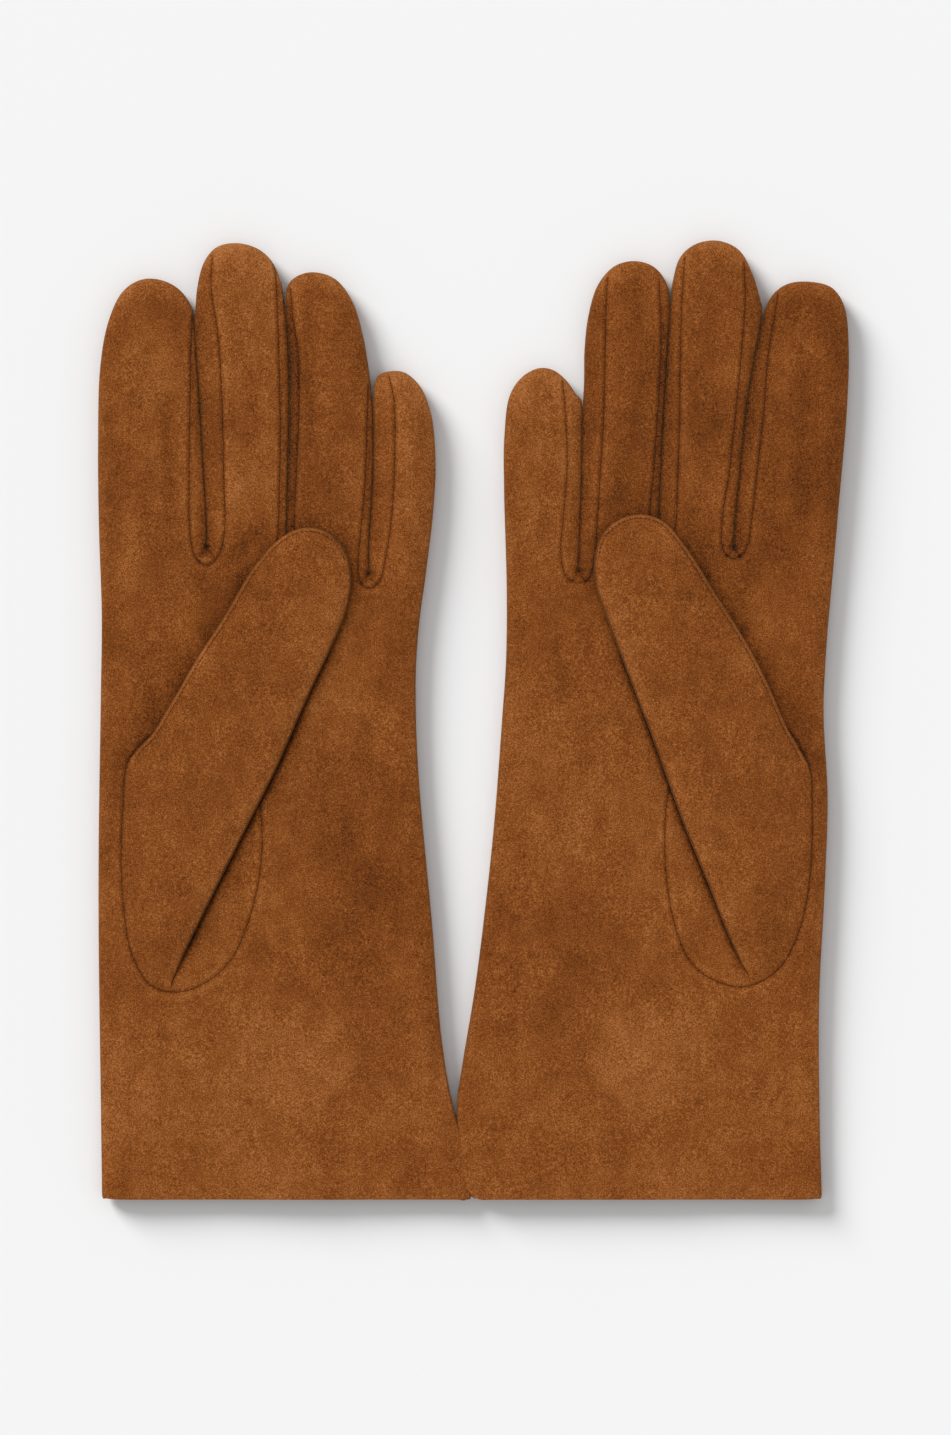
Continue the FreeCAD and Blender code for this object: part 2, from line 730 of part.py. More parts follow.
def make_fourchette(glove, levels, finger, flank):
    body = glove.body("%s_fourchette_%s" % (finger.lower(), {"Near": "inner", "Far": "outer"}[flank]))
    outline = fourchette_outline(glove, finger, flank)
    glove.pad(body, glove.draw(body, outline, levels.bottom), levels.thickness)
    cavity = inset(finger_outline(glove, finger), glove.size("Leather"), glove.size("Overrun"))
    glove.pocket(body, glove.draw(body, cavity, levels.leather_low), levels.leather_space)


def make_finger_lining(glove, levels, finger):
    body = glove.body(finger.lower() + "_lining")
    loose = glove.size("Leather") + glove.size("Clearance")
    none = glove.size("Leather").times(0.0)
    outer = inset(finger_outline(glove, finger), loose, none)
    glove.pad(body, glove.draw(body, outer, levels.leather_low), levels.leather_space)
    inner = inset(finger_outline(glove, finger), loose + glove.size("Lining"), glove.size("Overrun"))
    glove.pocket(body, glove.draw(body, inner, levels.lining_low), levels.lining_space)


def make_finger_stitching(glove, levels, finger, sewn):
    body = glove.body(finger.lower() + "_stitching")
    for flank in sewn:
        outline = seam_outline(glove, finger, flank)
        for level in (levels.bottom, levels.thread_high):
            glove.pad(body, glove.draw(body, outline, level), glove.size("ThreadDepth"))


def make_thumb(glove, levels):
    leather = glove.size("Leather")
    none = leather.times(0.0)
    loose = leather + glove.size("Clearance")
    outline = thumb_outline(glove)

    body = glove.body("thumb_leather")
    glove.pad(body, glove.draw(body, outline, levels.bottom), levels.thickness)
    cavity = inset(outline, leather, none)
    glove.pocket(body, glove.draw(body, cavity, levels.leather_low), levels.leather_space)
    below = levels.bottom - leather
    glove.pocket(body, glove.draw_oval(body, "Passage", none, below), leather.times(2.5))
    seam = thumb_seam_outline(glove)
    glove.pocket(body, glove.draw(body, seam, levels.thread_high), glove.size("ThreadDepth").times(2.0))

    lining = glove.body("thumb_lining")
    outer = inset(outline, loose, none)
    glove.pad(lining, glove.draw(lining, outer, levels.leather_low), levels.leather_space)
    inner = inset(outline, loose + glove.size("Lining"), none)
    glove.pocket(lining, glove.draw(lining, inner, levels.lining_low), levels.lining_space)
    glove.pocket(lining, glove.draw_oval(lining, "Passage", none, levels.bottom),
                 leather + glove.size("Lining").times(1.5))

    thread = glove.body("thumb_stitching")
    glove.pad(thread, glove.draw(thread, seam, levels.thread_high), glove.size("ThreadDepth"))


def thumb_seam_outline(glove):
    """The thread line just inside the thumb's outer edge and round its tip."""
    none = glove.size("Leather").times(0.0)
    near = glove.size("EdgeRadius")
    far = near + glove.size("SeamWidth")
    outer = inset(thumb_outline(glove), near, none)[0:4]
    inner = inset(thumb_outline(glove), far, none)[0:4]
    return outer[1:] + [line(inner[-1][1])] + backwards(inner) + [line(outer[0][1])]


SEWN = {"Index": ("Far",), "Middle": ("Near", "Far"), "Ring": ("Near", "Far"), "Little": ("Near",)}


def make_glove(glove):
    none = glove.size("Leather").times(0.0)
    flat = Levels(glove, none, glove.size("Thickness"))
    make_trank(glove, flat)
    make_hand_lining(glove, flat)
    make_cuff_hem(glove, flat)
    make_thumb_base(glove, flat)
    for near_finger, far_finger in FORKS:
        make_quirk(glove, flat, near_finger, far_finger)
    make_hand_stitching(glove, flat)
    for finger, sewn in SEWN.items():
        make_finger_leather(glove, flat, finger, sewn)
        make_finger_lining(glove, flat, finger)
        for flank in sewn:
            make_fourchette(glove, flat, finger, flank)
        make_finger_stitching(glove, flat, finger, sewn)
    folded = Levels(glove, glove.size("Thickness") + glove.size("ThumbGap"),
                    glove.size("ThumbThickness"))
    make_thumb(glove, folded)


def check(document, bodies):
    for item in document.Objects:
        if "Invalid" in item.State or "Error" in item.State:
            raise RuntimeError("%s did not build: %s" % (item.Name, item.State))
    for body in bodies:
        if body.Shape.isNull() or not body.Shape.isValid() or body.Shape.Volume <= 0:
            raise RuntimeError("%s has no valid shape" % body.Label)


def main():
    document = FreeCAD.newDocument("Gloves")
    sizes = Sizes(document)
    fill_sheet(sizes)
    document.recompute()
    bodies = []
    for side in SIDES:
        glove = Glove(document, sizes, side)
        make_glove(glove)
        bodies += glove.bodies
    document.recompute()
    check(document, bodies)
    os.makedirs("parts", exist_ok=True)
    for body in bodies:
        body.Shape.exportStep("parts/%s.step" % body.Label)
        box = body.Shape.BoundBox
        print("%-34s %9.1f mm3  %d solids  x %.2f %.2f  y %.2f %.2f  z %.2f %.2f" % (
            body.Label, body.Shape.Volume, len(body.Shape.Solids),
            box.XMin, box.XMax, box.YMin, box.YMax, box.ZMin, box.ZMax))


main()
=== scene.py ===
import math

import bpy
import numpy as np
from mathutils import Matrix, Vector, bvhtree, geometry, noise


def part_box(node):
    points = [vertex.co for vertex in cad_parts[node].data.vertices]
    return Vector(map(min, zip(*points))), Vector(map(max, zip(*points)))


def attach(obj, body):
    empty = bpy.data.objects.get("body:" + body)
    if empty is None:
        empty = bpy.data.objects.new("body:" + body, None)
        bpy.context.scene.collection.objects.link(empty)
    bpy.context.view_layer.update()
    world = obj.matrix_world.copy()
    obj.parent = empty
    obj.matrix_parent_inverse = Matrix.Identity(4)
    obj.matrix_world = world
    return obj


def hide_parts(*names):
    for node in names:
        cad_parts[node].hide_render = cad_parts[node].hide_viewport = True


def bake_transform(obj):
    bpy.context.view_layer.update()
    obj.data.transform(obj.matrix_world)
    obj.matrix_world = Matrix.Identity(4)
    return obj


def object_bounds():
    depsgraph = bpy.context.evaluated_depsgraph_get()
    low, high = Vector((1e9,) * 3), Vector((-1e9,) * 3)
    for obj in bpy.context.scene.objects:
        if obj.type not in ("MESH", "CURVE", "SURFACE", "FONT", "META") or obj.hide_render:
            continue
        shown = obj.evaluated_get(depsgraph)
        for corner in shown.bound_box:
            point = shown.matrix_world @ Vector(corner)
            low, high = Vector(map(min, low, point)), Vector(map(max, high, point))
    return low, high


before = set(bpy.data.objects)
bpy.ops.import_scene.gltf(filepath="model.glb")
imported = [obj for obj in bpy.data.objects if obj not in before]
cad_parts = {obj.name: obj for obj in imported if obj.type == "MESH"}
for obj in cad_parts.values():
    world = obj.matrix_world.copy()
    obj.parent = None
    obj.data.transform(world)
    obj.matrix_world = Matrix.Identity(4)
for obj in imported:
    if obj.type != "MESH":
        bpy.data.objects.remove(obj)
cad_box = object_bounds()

# A pair of lined suede gloves lying palms up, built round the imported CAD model.
#
# Each glove is drawn flat, in millimetres: "across" from the index side towards the little finger and
# "along" from the cuff edge towards the fingertips. A flat triangle mesh fills the outline, with
# edges along every seam, and becomes one closed skin: a crowned palm sheet and a back sheet welded
# together round the outline. Every piece of leather, hem and lining is cut from that one skin, given
# its own thickness, and moved to metres in the frame. The thumb is a second skin lying on the palm.

# ---- sizes, in mm

METRE = 0.001
LEATHER = 0.8
HEM = (0.85, 1.6)  # depths below the outside of the leather at which the hem starts and ends
KNIT = (0.95, 1.45)  # the same for the lining
HEM_DEPTH = 22.0  # how far the cuff's edge is turned in
ROLL = 0.8  # radius of the rolled cuff edge
ROLL_SHARE = 0.85  # how much thinner a layer gets at the roll
BESIDE = (-5.0, 130.0)  # across, clear of a glove on either side
ABOVE = 30.0  # well over a glove

EDGE_LEVEL = 2.8  # height of the fold round the outline
GAP_LEVEL = 5.9  # the same where two fingers press against each other
CUFF_LEVEL = 5.4  # heights of the palm side
HAND_LEVEL = 6.9
FINGER_LEVEL = 7.4
OPEN_ROUNDING = 6.0  # how far the palm side takes to rise from an open edge
GAP_ROUNDING = 3.4  # the same beside a gap between fingers
BACK_ROUNDING = 4.0
CROWN = 2.3  # exponent of the rounded section
GAP_CROWN = 1.45  # the same beside a gap, where the leather slopes more gently
SMOOTH_PASSES = 4

GAP_HALF = 0.05  # half of the air between two fingers
GAP_FREE = 4.0  # how far below its upper end a gap starts to open
GAP_APART = 0.5  # how far two fingers keep from each other's line above the gap
PRESS_REACH = 0.5  # an edge this near the middle of a gap is pressed
PRESS_WINDOW = 15  # points over which the pressing fades
ROOF = ((0.5, 6.0), (0.0, 14.0))  # from a fork's last and first point to beyond the fingertips

FINE = 0.2  # spacing at which a curve is worked out
STEP = 1.0  # spacing of mesh points along edges and seams
LEG_STEP = 0.6
GRID = 1.7  # spacing of mesh points inside
GRID_ROOM = 0.6  # share of it that they keep from other points
ROW_HEIGHT = 0.866  # of a triangle with sides of 1
ROW_ROOM = (0.62, 0.15)  # share of a row's offset that its points keep from others, and the least
WELDED = 0.01  # points nearer than this to the outline join palm and back
CUFF_ROWS = (0.12, 0.32, 0.6, 1.0, 1.8)
OUTLINE_ROWS = (0.22, 0.65, 1.3)
SEAM_ROWS = (0.3, -0.3, 0.65, -0.65, 1.15, -1.15)
LEG_ROWS = (0.0, 0.35, -0.35)
CREASE_ROWS = (0.0, 0.35, -0.35, 0.8, -0.8, 1.5, -1.5)
CREASE_TOP = 172.0  # how far along the crease beside the thumb is pressed into the palm

CROTCH_LEG = (2.3, 3.4)  # how far out and down the creases below a crotch run
CROTCH_BELLY = (0.35, 0.62)  # the shares of that at which they bend
CROTCH_PIT = 0.4  # how far below the bottom of a gap its pit lies
QUIRK_RISE = 2.1  # how far above the bottom of its seam a quirk is fullest
PINCH = 2.4  # the lining keeps this clear of the bottom of a gap

THUMB_EDGE = 1.9  # height of the thumb's open edges over the palm
THUMB_CROWN = 4.6
THUMB_TIP_CROWN = 5.1
THUMB_CLEAR = 0.25
THUMB_ROUNDING = (3.6, 6.2)  # beside the crease, and round the tip
THUMB_UNDER = 2.6  # rounding of its underside
THUMB_SEWN_RISE = 19.0  # how far from its sewn edge the thumb takes to rise
THUMB_SEWN_POWER = 1.15
THUMB_THIN = (0.25, 0.01)  # share of the room inside that its leather takes near the seam, and the least
THUMB_REST = (150.0, 0.5, 60)  # from here along, it bridges dips deeper than this, smoothed this often
RIM_INSET = 1.15  # the seam round the thumb lies this far inside its edge
RIM_ENDS = (8, 3)  # points of the edge by which it starts early and stops early

STITCH_PITCH = 1.3
STITCH_LENGTH = 0.86
STITCH_RADIUS = 0.10
STITCH_SINK = 0.02  # how far its ends go into the leather
STITCH_RISE = 0.07  # how far its middle stands out
STITCH_WIDE = 1.15  # its width over its height
STITCH_BULGE = 0.03
STITCH_SIZES = (0.55, 0.95, 1.0, 0.95, 0.55)  # shares of its radius from end to end
STITCH_LEVEL = 0.35  # least upward share of the leather's normal under a stitch
TUBE_SIDES = 6

# Bells across a line or round a point: how much, how far from it, and how wide. Grooves and rises
# are heights, a shade is painted shade that darkens the leather and a highlight is painted light
# that lightens it.
MARKS = {
    "seam_groove": ((-0.32, 0, 0.38), (0.09, 1.3, 0.75)),
    "back_groove": ((0.192, 0, 0.38),),
    "leg_groove": ((-0.35, 0, 0.45),),
    "pit_groove": ((-0.5, 0, 1.0),),
    "dome_rise": ((0.45, 0, 1.3),),
    "crease_groove": ((-0.6, 0, 1.0),),
    "rim_groove": ((-0.16, 0, 0.32),),
    "seam_shade": ((0.50, 0, 0.26), (0.06, 0, 1.1)),
    "back_shade": ((0.5, 0, 0.3),),
    "edge_shade": ((0.22, 0, 0.35),),
    "leg_shade": ((0.45, 0, 0.5),),
    "pit_shade": ((0.3, 0, 1.0),),
    "crease_shade": ((1.0, 0, 0.4), (0.12, 0, 2.2)),
    "gap_shade": ((0.18, 0, 0.6), (0.17, 0, 1.8)),
    "under_thumb_shade": ((0.22, 0, 2.4), (0.14, 0, 8)),
    "rim_shade": ((0.26, 0, 0.26),),
    "sewn_shade": ((0.45, 0, 0.28), (0.06, 0, 1.1)),
    "fold_shade": ((1.1, 0, 0.3),),
    "lip_shade": ((0.25, 0, 0.2),),
    "seam_highlight": ((0.35, 0.9, 0.4),),
    "edge_highlight": ((0.25, 0.9, 1.0),),
    "dome_highlight": ((0.4, 0, 1.3),),
    "tip_highlight": ((0.55, 0, 4.5),),
    "fold_highlight": ((0.40, 1.5, 0.9),),
    "lip_highlight": ((0.40, 0.6, 0.4),),
}
# How much lighter the leather is painted towards the cuff edge, and over the whole thumb.
CUFF_LIGHTENING = 0.30
THUMB_LIGHTENING = 0.10
FOLD_SHADE = -0.38  # darkness per mm of height of a soft fold: painted shade in its hollows, a painted highlight on its ridges
SHADE_RANGE = (-0.6, 1.6)

# Where a change from 0 to 1 starts, and how far it takes. It runs backwards where that is below 0.
SLOPES = {
    "cuff_to_palm": (0, 70),
    "palm_to_fingers": (175, 30),
    "cuff_swell": (30, -30),
    "cuff_lightening": (90, -60),
    "finger_tone": (165, 50),
    "tip_highlight": (-16, 12),
    "crease_start": (62, 14),
    "crease_end": (180, -30),
    "gap_start": (0, 2),
    "gap_end": (0, 12),
    "edge_smooth": (0, 1.5),
    "edge_groove": (0, 1.2),
    "thumb_bridge": (1, 8),
    "thumb_rounding": (-30, 30),
    "thumb_crown": (120, 60),
    "thumb_swell": (0, 6),
    "thumb_thick": (4, 8),
    "rim_edge": (0, 0.6),
    "rim_sewn": (0, 5),
}

# Slow swells of the leather: height, size, and which part of the noise.
SWELLS = {
    "palm": ((0.42, 38, 0.0), (0.16, 13, 1.0)),
    "cuff": ((0.5, 26, 2.0),),
    "thumb": ((0.35, 22, 5.1), (0.12, 9, 8.2)),
}
SWELL_START = {"left": 3.7, "right": 11.3}

# ---- flat patterns

FINGERS = ("index", "middle", "ring", "little")
FORKS = tuple(zip(FINGERS, FINGERS[1:]))

# "gaps" run up from each crotch between two fingers, "index", "middle", "ring" and "little" are
# the open edges between them, "forks" the seams round the strips of leather between the fingers.
# "oval" is the seam that the thumb is sewn into, "crease" and "tip" the thumb's own open edges.
LEFT = {
    "index": [
        (1.2, 0), (0.8, 30), (0.2, 75), (0.2, 106), (0.8, 147), (1.1, 172), (0.3, 197), (0, 221),
        (0.7, 246), (3.2, 259.3), (7.3, 267.7), (12.7, 271.2), (18.6, 271.1), (24.3, 268),
    ],
    "middle": [(29, 267), (31.2, 276.2), (35, 280.8), (41, 282), (47, 280.4), (51, 277), (54, 270.5)],
    "ring": [
        (56.4, 270.2), (60.5, 273), (65.5, 273.2), (70.5, 271), (75.2, 264.5), (78.2, 254.6), (80, 244),
    ],
    "little": [
        (82.6, 242.8), (86.2, 244.2), (90.5, 243.8), (95.2, 239.5), (98.4, 231), (99.6, 217),
        (98.9, 203), (96.8, 185), (94.9, 171), (93.8, 156), (94, 136), (95.2, 117), (98.5, 82),
        (101.4, 47), (104.4, 29), (107.8, 16), (110.2, 0),
    ],
    "gaps": [
        [(32.3, 192.8), (32.3, 198), (31.3, 215), (30.1, 236), (28.9, 252), (28.5, 261)],
        [(55.7, 189.6), (55.8, 200), (56.1, 215), (56.5, 236), (56, 254), (55.1, 264)],
        [(79.9, 184.8), (80.1, 195), (81, 208), (81.3, 222), (81, 236)],
    ],
    "forks": [
        [
            (27.9, 260.5), (27.5, 248), (27.3, 232), (27.1, 214), (27.4, 196), (28.9, 189.2),
            (32.2, 186.8), (35.5, 189.2), (37.4, 196), (37.3, 214), (36.8, 235), (35.7, 254),
            (33.6, 269), (34, 278.2),
        ],
        [
            (50.8, 278.6), (52.2, 274), (53, 262), (53.6, 244), (53.9, 224), (53.4, 200), (53.3, 190),
            (55.7, 186.3), (58, 190), (58, 200), (58.8, 216), (59.5, 235), (59.2, 250), (57.6, 260),
            (57, 268),
        ],
        [
            (79.7, 240), (79.4, 228), (78.9, 212), (77.6, 197), (76.8, 187), (77.6, 181.8), (80.2, 180),
            (83, 182), (85, 189.5), (86.5, 199), (87.4, 211), (87.7, 228), (87.2, 237), (85.8, 243),
        ],
    ],
    "oval": [
        (9.4, 129.5), (7.6, 115), (7.1, 103.5), (7.7, 88), (10.2, 72.6), (15.7, 63.2), (22.7, 61.2),
        (30.3, 63.2), (38.5, 69.6), (44.3, 81.3), (48, 97), (48.4, 111), (46, 124), (39, 134),
        (28, 139), (16.5, 137),
    ],
    "crease": [
        (22.4, 64.4), (25.3, 71.5), (33.3, 88), (42.2, 105.9), (52.6, 126.5), (61.9, 147.6),
        (69.4, 163.5), (73.2, 172.5), (74.9, 182), (73.6, 189.8), (70.3, 194.6),
    ],
    "tip": [
        (65.4, 197.4), (60, 197.6), (54, 194.7), (46.4, 186.4), (37.4, 171.4), (30.1, 160.2),
        (21.8, 146), (16.2, 137), (12.6, 133.3), (9.4, 129.5),
    ],
}

RIGHT = {
    "index": [
        (8, 0), (8.7, 26), (8.8, 59), (7.3, 89), (6.3, 118), (7.5, 144), (6.5, 165), (4.9, 183),
        (2.9, 206), (0.6, 233), (0.1, 252), (1.4, 263.4), (5, 268.8), (11.5, 270.6), (18, 270),
        (22.3, 267),
    ],
    "middle": [
        (26.1, 265), (28.5, 273), (32.5, 280), (38.6, 282.7), (45, 281.8), (49.7, 278), (52, 270.8),
    ],
    "ring": [(53.9, 270.4), (57.6, 275), (63, 276.7), (69, 275.3), (74, 269.8), (77, 260), (78.2, 248)],
    "little": [
        (80.6, 237.5), (83.4, 241.5), (87.4, 244.6), (91.5, 245.1), (96.2, 242.7), (100, 237.3),
        (101.7, 225), (101.8, 210), (101, 180), (101.2, 159), (102.4, 141), (104.6, 112), (107.1, 88),
        (110.4, 62), (114.2, 39), (115.7, 28), (114.9, 15), (113.5, 3.8), (110.8, 0),
    ],
    "gaps": [
        [(34.2, 192.6), (33.5, 203), (32.4, 213), (31.1, 227), (29.2, 241), (26.8, 254), (25.4, 261)],
        [(55.9, 193), (56.1, 203), (55.5, 216), (54.8, 230), (53.9, 245), (53.1, 258), (52.8, 265)],
        [(79.8, 185.6), (79.4, 199), (79, 211), (78.8, 224), (78.7, 235)],
    ],
    "forks": [
        [
            (21.1, 267), (22.4, 259), (24, 249), (25.5, 231), (27.4, 214), (29, 200), (30.7, 191.3),
            (34.2, 188.8), (37.3, 191.3), (37.5, 201), (35.6, 214), (33.6, 232), (32, 249), (30.9, 265),
            (31.2, 276),
        ],
        [
            (48.6, 277.6), (49.5, 264), (50, 246), (50.2, 228), (50.7, 212), (51.3, 199), (53, 191.7),
            (55.9, 189.5), (58.4, 192.2), (58.8, 203), (57.6, 217), (56.4, 235), (55.6, 254),
            (56.2, 271),
        ],
        [
            (71.4, 271.3), (71.8, 262), (72.1, 246), (72.6, 228), (73.6, 212), (74.4, 199),
            (75.2, 187.5), (77.4, 182.3), (80.4, 181.7), (83.6, 183.8), (85.1, 190), (84.3, 201),
            (83.3, 214), (83.6, 230), (84.6, 241),
        ],
    ],
    "oval": [
        (12, 127.6), (11.1, 116), (11.1, 106), (12.1, 92), (15, 79), (21.2, 67.8), (31, 62.8),
        (39.6, 64.6), (46.6, 69.7), (51.4, 80.5), (53.9, 94), (54.5, 107), (53.2, 121), (49, 132),
        (41, 140.5), (29.5, 143), (19, 139),
    ],
    "crease": [
        (31.3, 68), (35, 76), (41.5, 92.2), (49.8, 112.7), (57.9, 135.2), (66.2, 157), (72.3, 173),
        (74.9, 181), (75.2, 189), (73.2, 195.4),
    ],
    "tip": [
        (68.6, 199.8), (61.5, 201.7), (54.8, 199.5), (47.6, 191), (39.8, 178.6), (30.7, 164.2),
        (24.8, 153), (19, 139.8), (15.5, 133.6), (12, 127.6),
    ],
}

PATTERN = {"left": LEFT, "right": RIGHT}
MIRROR = {"left": 1.0, "right": -1.0}

# How much darker the strips between the fingers are painted than the fingers beside them: partly painted
# shade on the sides of the fingers that face each other, partly the leather's own tone.
STRIP_SHADE_AND_TONE = {
    "left": {
        "middle_fourchette_inner": 0.20, "ring_fourchette_inner": 0.26, "little_fourchette_inner": 0.14,
        "middle_fourchette_outer": 0.04, "ring_fourchette_outer": 0.08,
    },
    "right": {
        "ring_fourchette_outer": 0.08, "ring_fourchette_inner": 0.06, "middle_fourchette_inner": 0.06,
    },
}
# How much darker than the palm the nap of each finger lies, index to little.
FINGER_TONE = {"left": (0.0, -0.19, 0.02, -0.13), "right": (0.20, 0.01, 0.06, -0.08)}
# Places where the nap lies lighter, or darker below 0: across, along, radius, how much.
NAP_PATCHES = {
    "left": [
        (73, 147, 14, 0.14), (83, 91, 11, -0.14), (70, 80, 9, -0.08), (46, 36, 22, 0.14),
        (100, 12, 12, -0.12), (8, 165, 12, -0.06), (35, 182, 9, -0.12), (62, 225, 6, 0.08),
        (14, 245, 9, 0.08),
    ],
    "right": [
        (77, 112, 24, 0.26), (60, 46, 20, 0.14), (98, 150, 14, 0.10), (102, 22, 12, -0.14),
        (84, 52, 7, -0.10), (88, 84, 7, -0.08), (12, 10, 10, -0.12), (13, 252, 9, 0.10),
        (58, 160, 9, -0.10),
    ],
}

# Soft folds pressed into the palm side: from (across, along) to (across, along), width, height.
FOLDS = {
    "left": [
        (20.6, 236, 21.8, 200, 1.8, -0.35), (16.5, 240, 17.5, 205, 1.8, 0.28),
        (25.0, 235, 25.2, 202, 1.2, 0.28), (39.5, 189.5, 50, 197.5, 2.2, -0.45),
        (41.5, 185.5, 50, 191.5, 1.8, 0.3), (49.5, 250, 50.3, 206, 1.5, 0.28),
        (10, 225, 9, 168, 3.0, 0.22), (3.5, 238, 3.5, 150, 2.0, -0.2),
        (91.5, 236, 91.2, 196, 1.3, 0.25), (42, 262, 43, 215, 2.4, -0.2), (66, 262, 68, 215, 2.2, 0.22),
        (62, 258, 63, 205, 1.8, -0.25), (72, 104, 88, 92, 3.5, -0.3), (66, 92, 84, 80, 3.5, 0.22),
    ],
    "right": [
        (13.3, 243, 13.0, 203, 1.8, -0.38), (18.9, 252, 19.6, 202, 1.8, 0.28),
        (8, 240, 7.5, 195, 2.0, 0.18), (48.7, 262, 47.6, 205, 1.5, 0.36),
        (42, 262, 41, 208, 2.2, -0.28), (61, 207, 70, 205, 3.0, -0.3),
        (69.5, 258, 70.6, 208, 1.3, 0.28), (63, 262, 64, 216, 2.0, -0.22),
        (22, 197, 28, 184, 3.0, -0.28), (95, 235, 93, 190, 2.4, 0.2), (80, 70, 92, 52, 3.5, -0.25),
        (72, 62, 84, 46, 3.5, 0.2),
    ],
}

# ---- curves and flat meshes


def spaced(points, step, closed=False):
    """Points about this far apart on a smooth curve through the given ones."""
    given = np.array(points, float)
    if closed:
        given = np.vstack([given[-1], given, given[0], given[1]])
    else:
        given = np.vstack([2 * given[0] - given[1], given, 2 * given[-1] - given[-2]])
    dense = []
    for a, b, c, d in zip(given, given[1:], given[2:], given[3:]):
        chords = [math.dist(a, b), math.dist(b, c), math.dist(c, d)]
        knots = np.cumsum([0.0] + [max(chord, 1e-6) ** 0.5 for chord in chords])
        count = max(2, int(chords[1] / FINE))
        t = np.linspace(knots[1], knots[2], count, endpoint=False)[:, None]

        def between(p, q, i, j):
            return ((knots[j] - t) * p + (t - knots[i]) * q) / (knots[j] - knots[i])

        ab, bc, cd = between(a, b, 0, 1), between(b, c, 1, 2), between(c, d, 2, 3)
        dense.append(between(between(ab, bc, 0, 2), between(bc, cd, 1, 3), 1, 2))
    dense.append(given[-2][None])
    return resampled(np.vstack(dense), step, closed)


def resampled(line, step, closed=False):
    """A polyline's points, evenly spaced."""
    run = np.concatenate([[0.0], np.cumsum(np.linalg.norm(np.diff(line, axis=0), axis=1))])
    count = max(2, round(run[-1] / step))
    at = np.linspace(0.0, run[-1], count + 1)
    even = np.column_stack([np.interp(at, run, line[:, k]) for k in range(line.shape[1])])
    return even[:-1] if closed else even


def closed_up(line):
    """A closed line with its first point again at its end."""
    return np.vstack([line, line[:1]])


def distance(points, *lines):
    """Each point's distance to the nearest of these lines, and which of their segments that is."""
    best = np.full(len(points), np.inf)
    which = np.zeros(len(points), int)
    starts = np.vstack([np.asarray(line, float)[:-1] for line in lines])
    ends = np.vstack([np.asarray(line, float)[1:] for line in lines])
    for number, (a, b) in enumerate(zip(starts, ends)):
        run = b - a
        share = np.clip(((points - a) @ run) / max(run @ run, 1e-12), 0, 1)
        off = points - a - share[:, None] * run
        away = np.einsum("ij,ij->i", off, off)
        nearer = away < best
        best[nearer] = away[nearer]
        which[nearer] = number
    return np.sqrt(best), which


def away_from(points, *lines):
    return distance(points, *lines)[0]


def away_from_spots(points, spots):
    return np.linalg.norm(points[:, None] - np.array(spots), axis=2).min(1)


def inside(points, polygon):
    """Which points lie inside a closed polygon."""
    within = np.zeros(len(points), bool)
    for a, b in zip(polygon, np.roll(polygon, -1, axis=0)):
        if a[1] == b[1]:
            continue
        crosses = (points[:, 1] > a[1]) != (points[:, 1] > b[1])
        at = a[0] + (points[:, 1] - a[1]) * (b[0] - a[0]) / (b[1] - a[1])
        within ^= crosses & (points[:, 0] < at)
    return within


def smoothstep(value):
    t = np.clip(value, 0.0, 1.0)
    return t * t * (3 - 2 * t)


def bell(value, width):
    return np.exp(-((value / width) ** 2))


def mark(name, away):
    """The height, shade or rub of a mark at these distances from it."""
    return sum(amount * bell(away - at, width) for amount, at, width in MARKS[name])


def slope(name, value):
    start, length = SLOPES[name]
    return smoothstep((value - start) / length)


def crowned(value, power=CROWN):
    """A rounded section: steep at 0, flat from 1 on."""
    return (1 - (1 - np.clip(value, 0, 1)) ** power) ** (1 / power)


def unit(vectors):
    return vectors / np.maximum(np.linalg.norm(vectors, axis=1), 1e-9)[:, None]


def leftward(line, closed=False):
    """Unit vectors to the left of a line, at each of its points."""
    if closed:
        along = np.roll(line, -1, axis=0) - np.roll(line, 1, axis=0)
    else:
        along = np.gradient(line, axis=0)
    along = unit(along)
    return np.column_stack([-along[:, 1], along[:, 0]])


class Scatter:
    """Flat points with edges between some of them, kept clear of each other."""

    CELL = 2.0

    def __init__(self):
        self.points = []
        self.edges = []
        self.cells = {}

    def cell(self, point):
        return int(point[0] // self.CELL), int(point[1] // self.CELL)

    def crowded(self, point, room):
        i, j = self.cell(point)
        for key in ((i + di, j + dj) for di in (-1, 0, 1) for dj in (-1, 0, 1)):
            for other in self.cells.get(key, ()):
                if math.dist(point, other) < room:
                    return True
        return False

    def add(self, point, room=0.0):
        if room and self.crowded(point, room):
            return
        self.points.append(tuple(point))
        self.cells.setdefault(self.cell(point), []).append(tuple(point))

    def add_line(self, line, closed=False):
        first = len(self.points)
        for point in line:
            self.add(point)
        last = len(self.points) - 1
        self.edges += [(n, n + 1) for n in range(first, last)]
        if closed:
            self.edges.append((last, first))

    def add_rows(self, line, offsets, closed=False):
        """Points beside a line, so that the surface can turn sharply there."""
        line = np.asarray(line, float)
        side = leftward(line, closed)
        for offset in offsets:
            for point in line + offset * side:
                self.add(point, max(abs(offset) * ROW_ROOM[0], ROW_ROOM[1]))


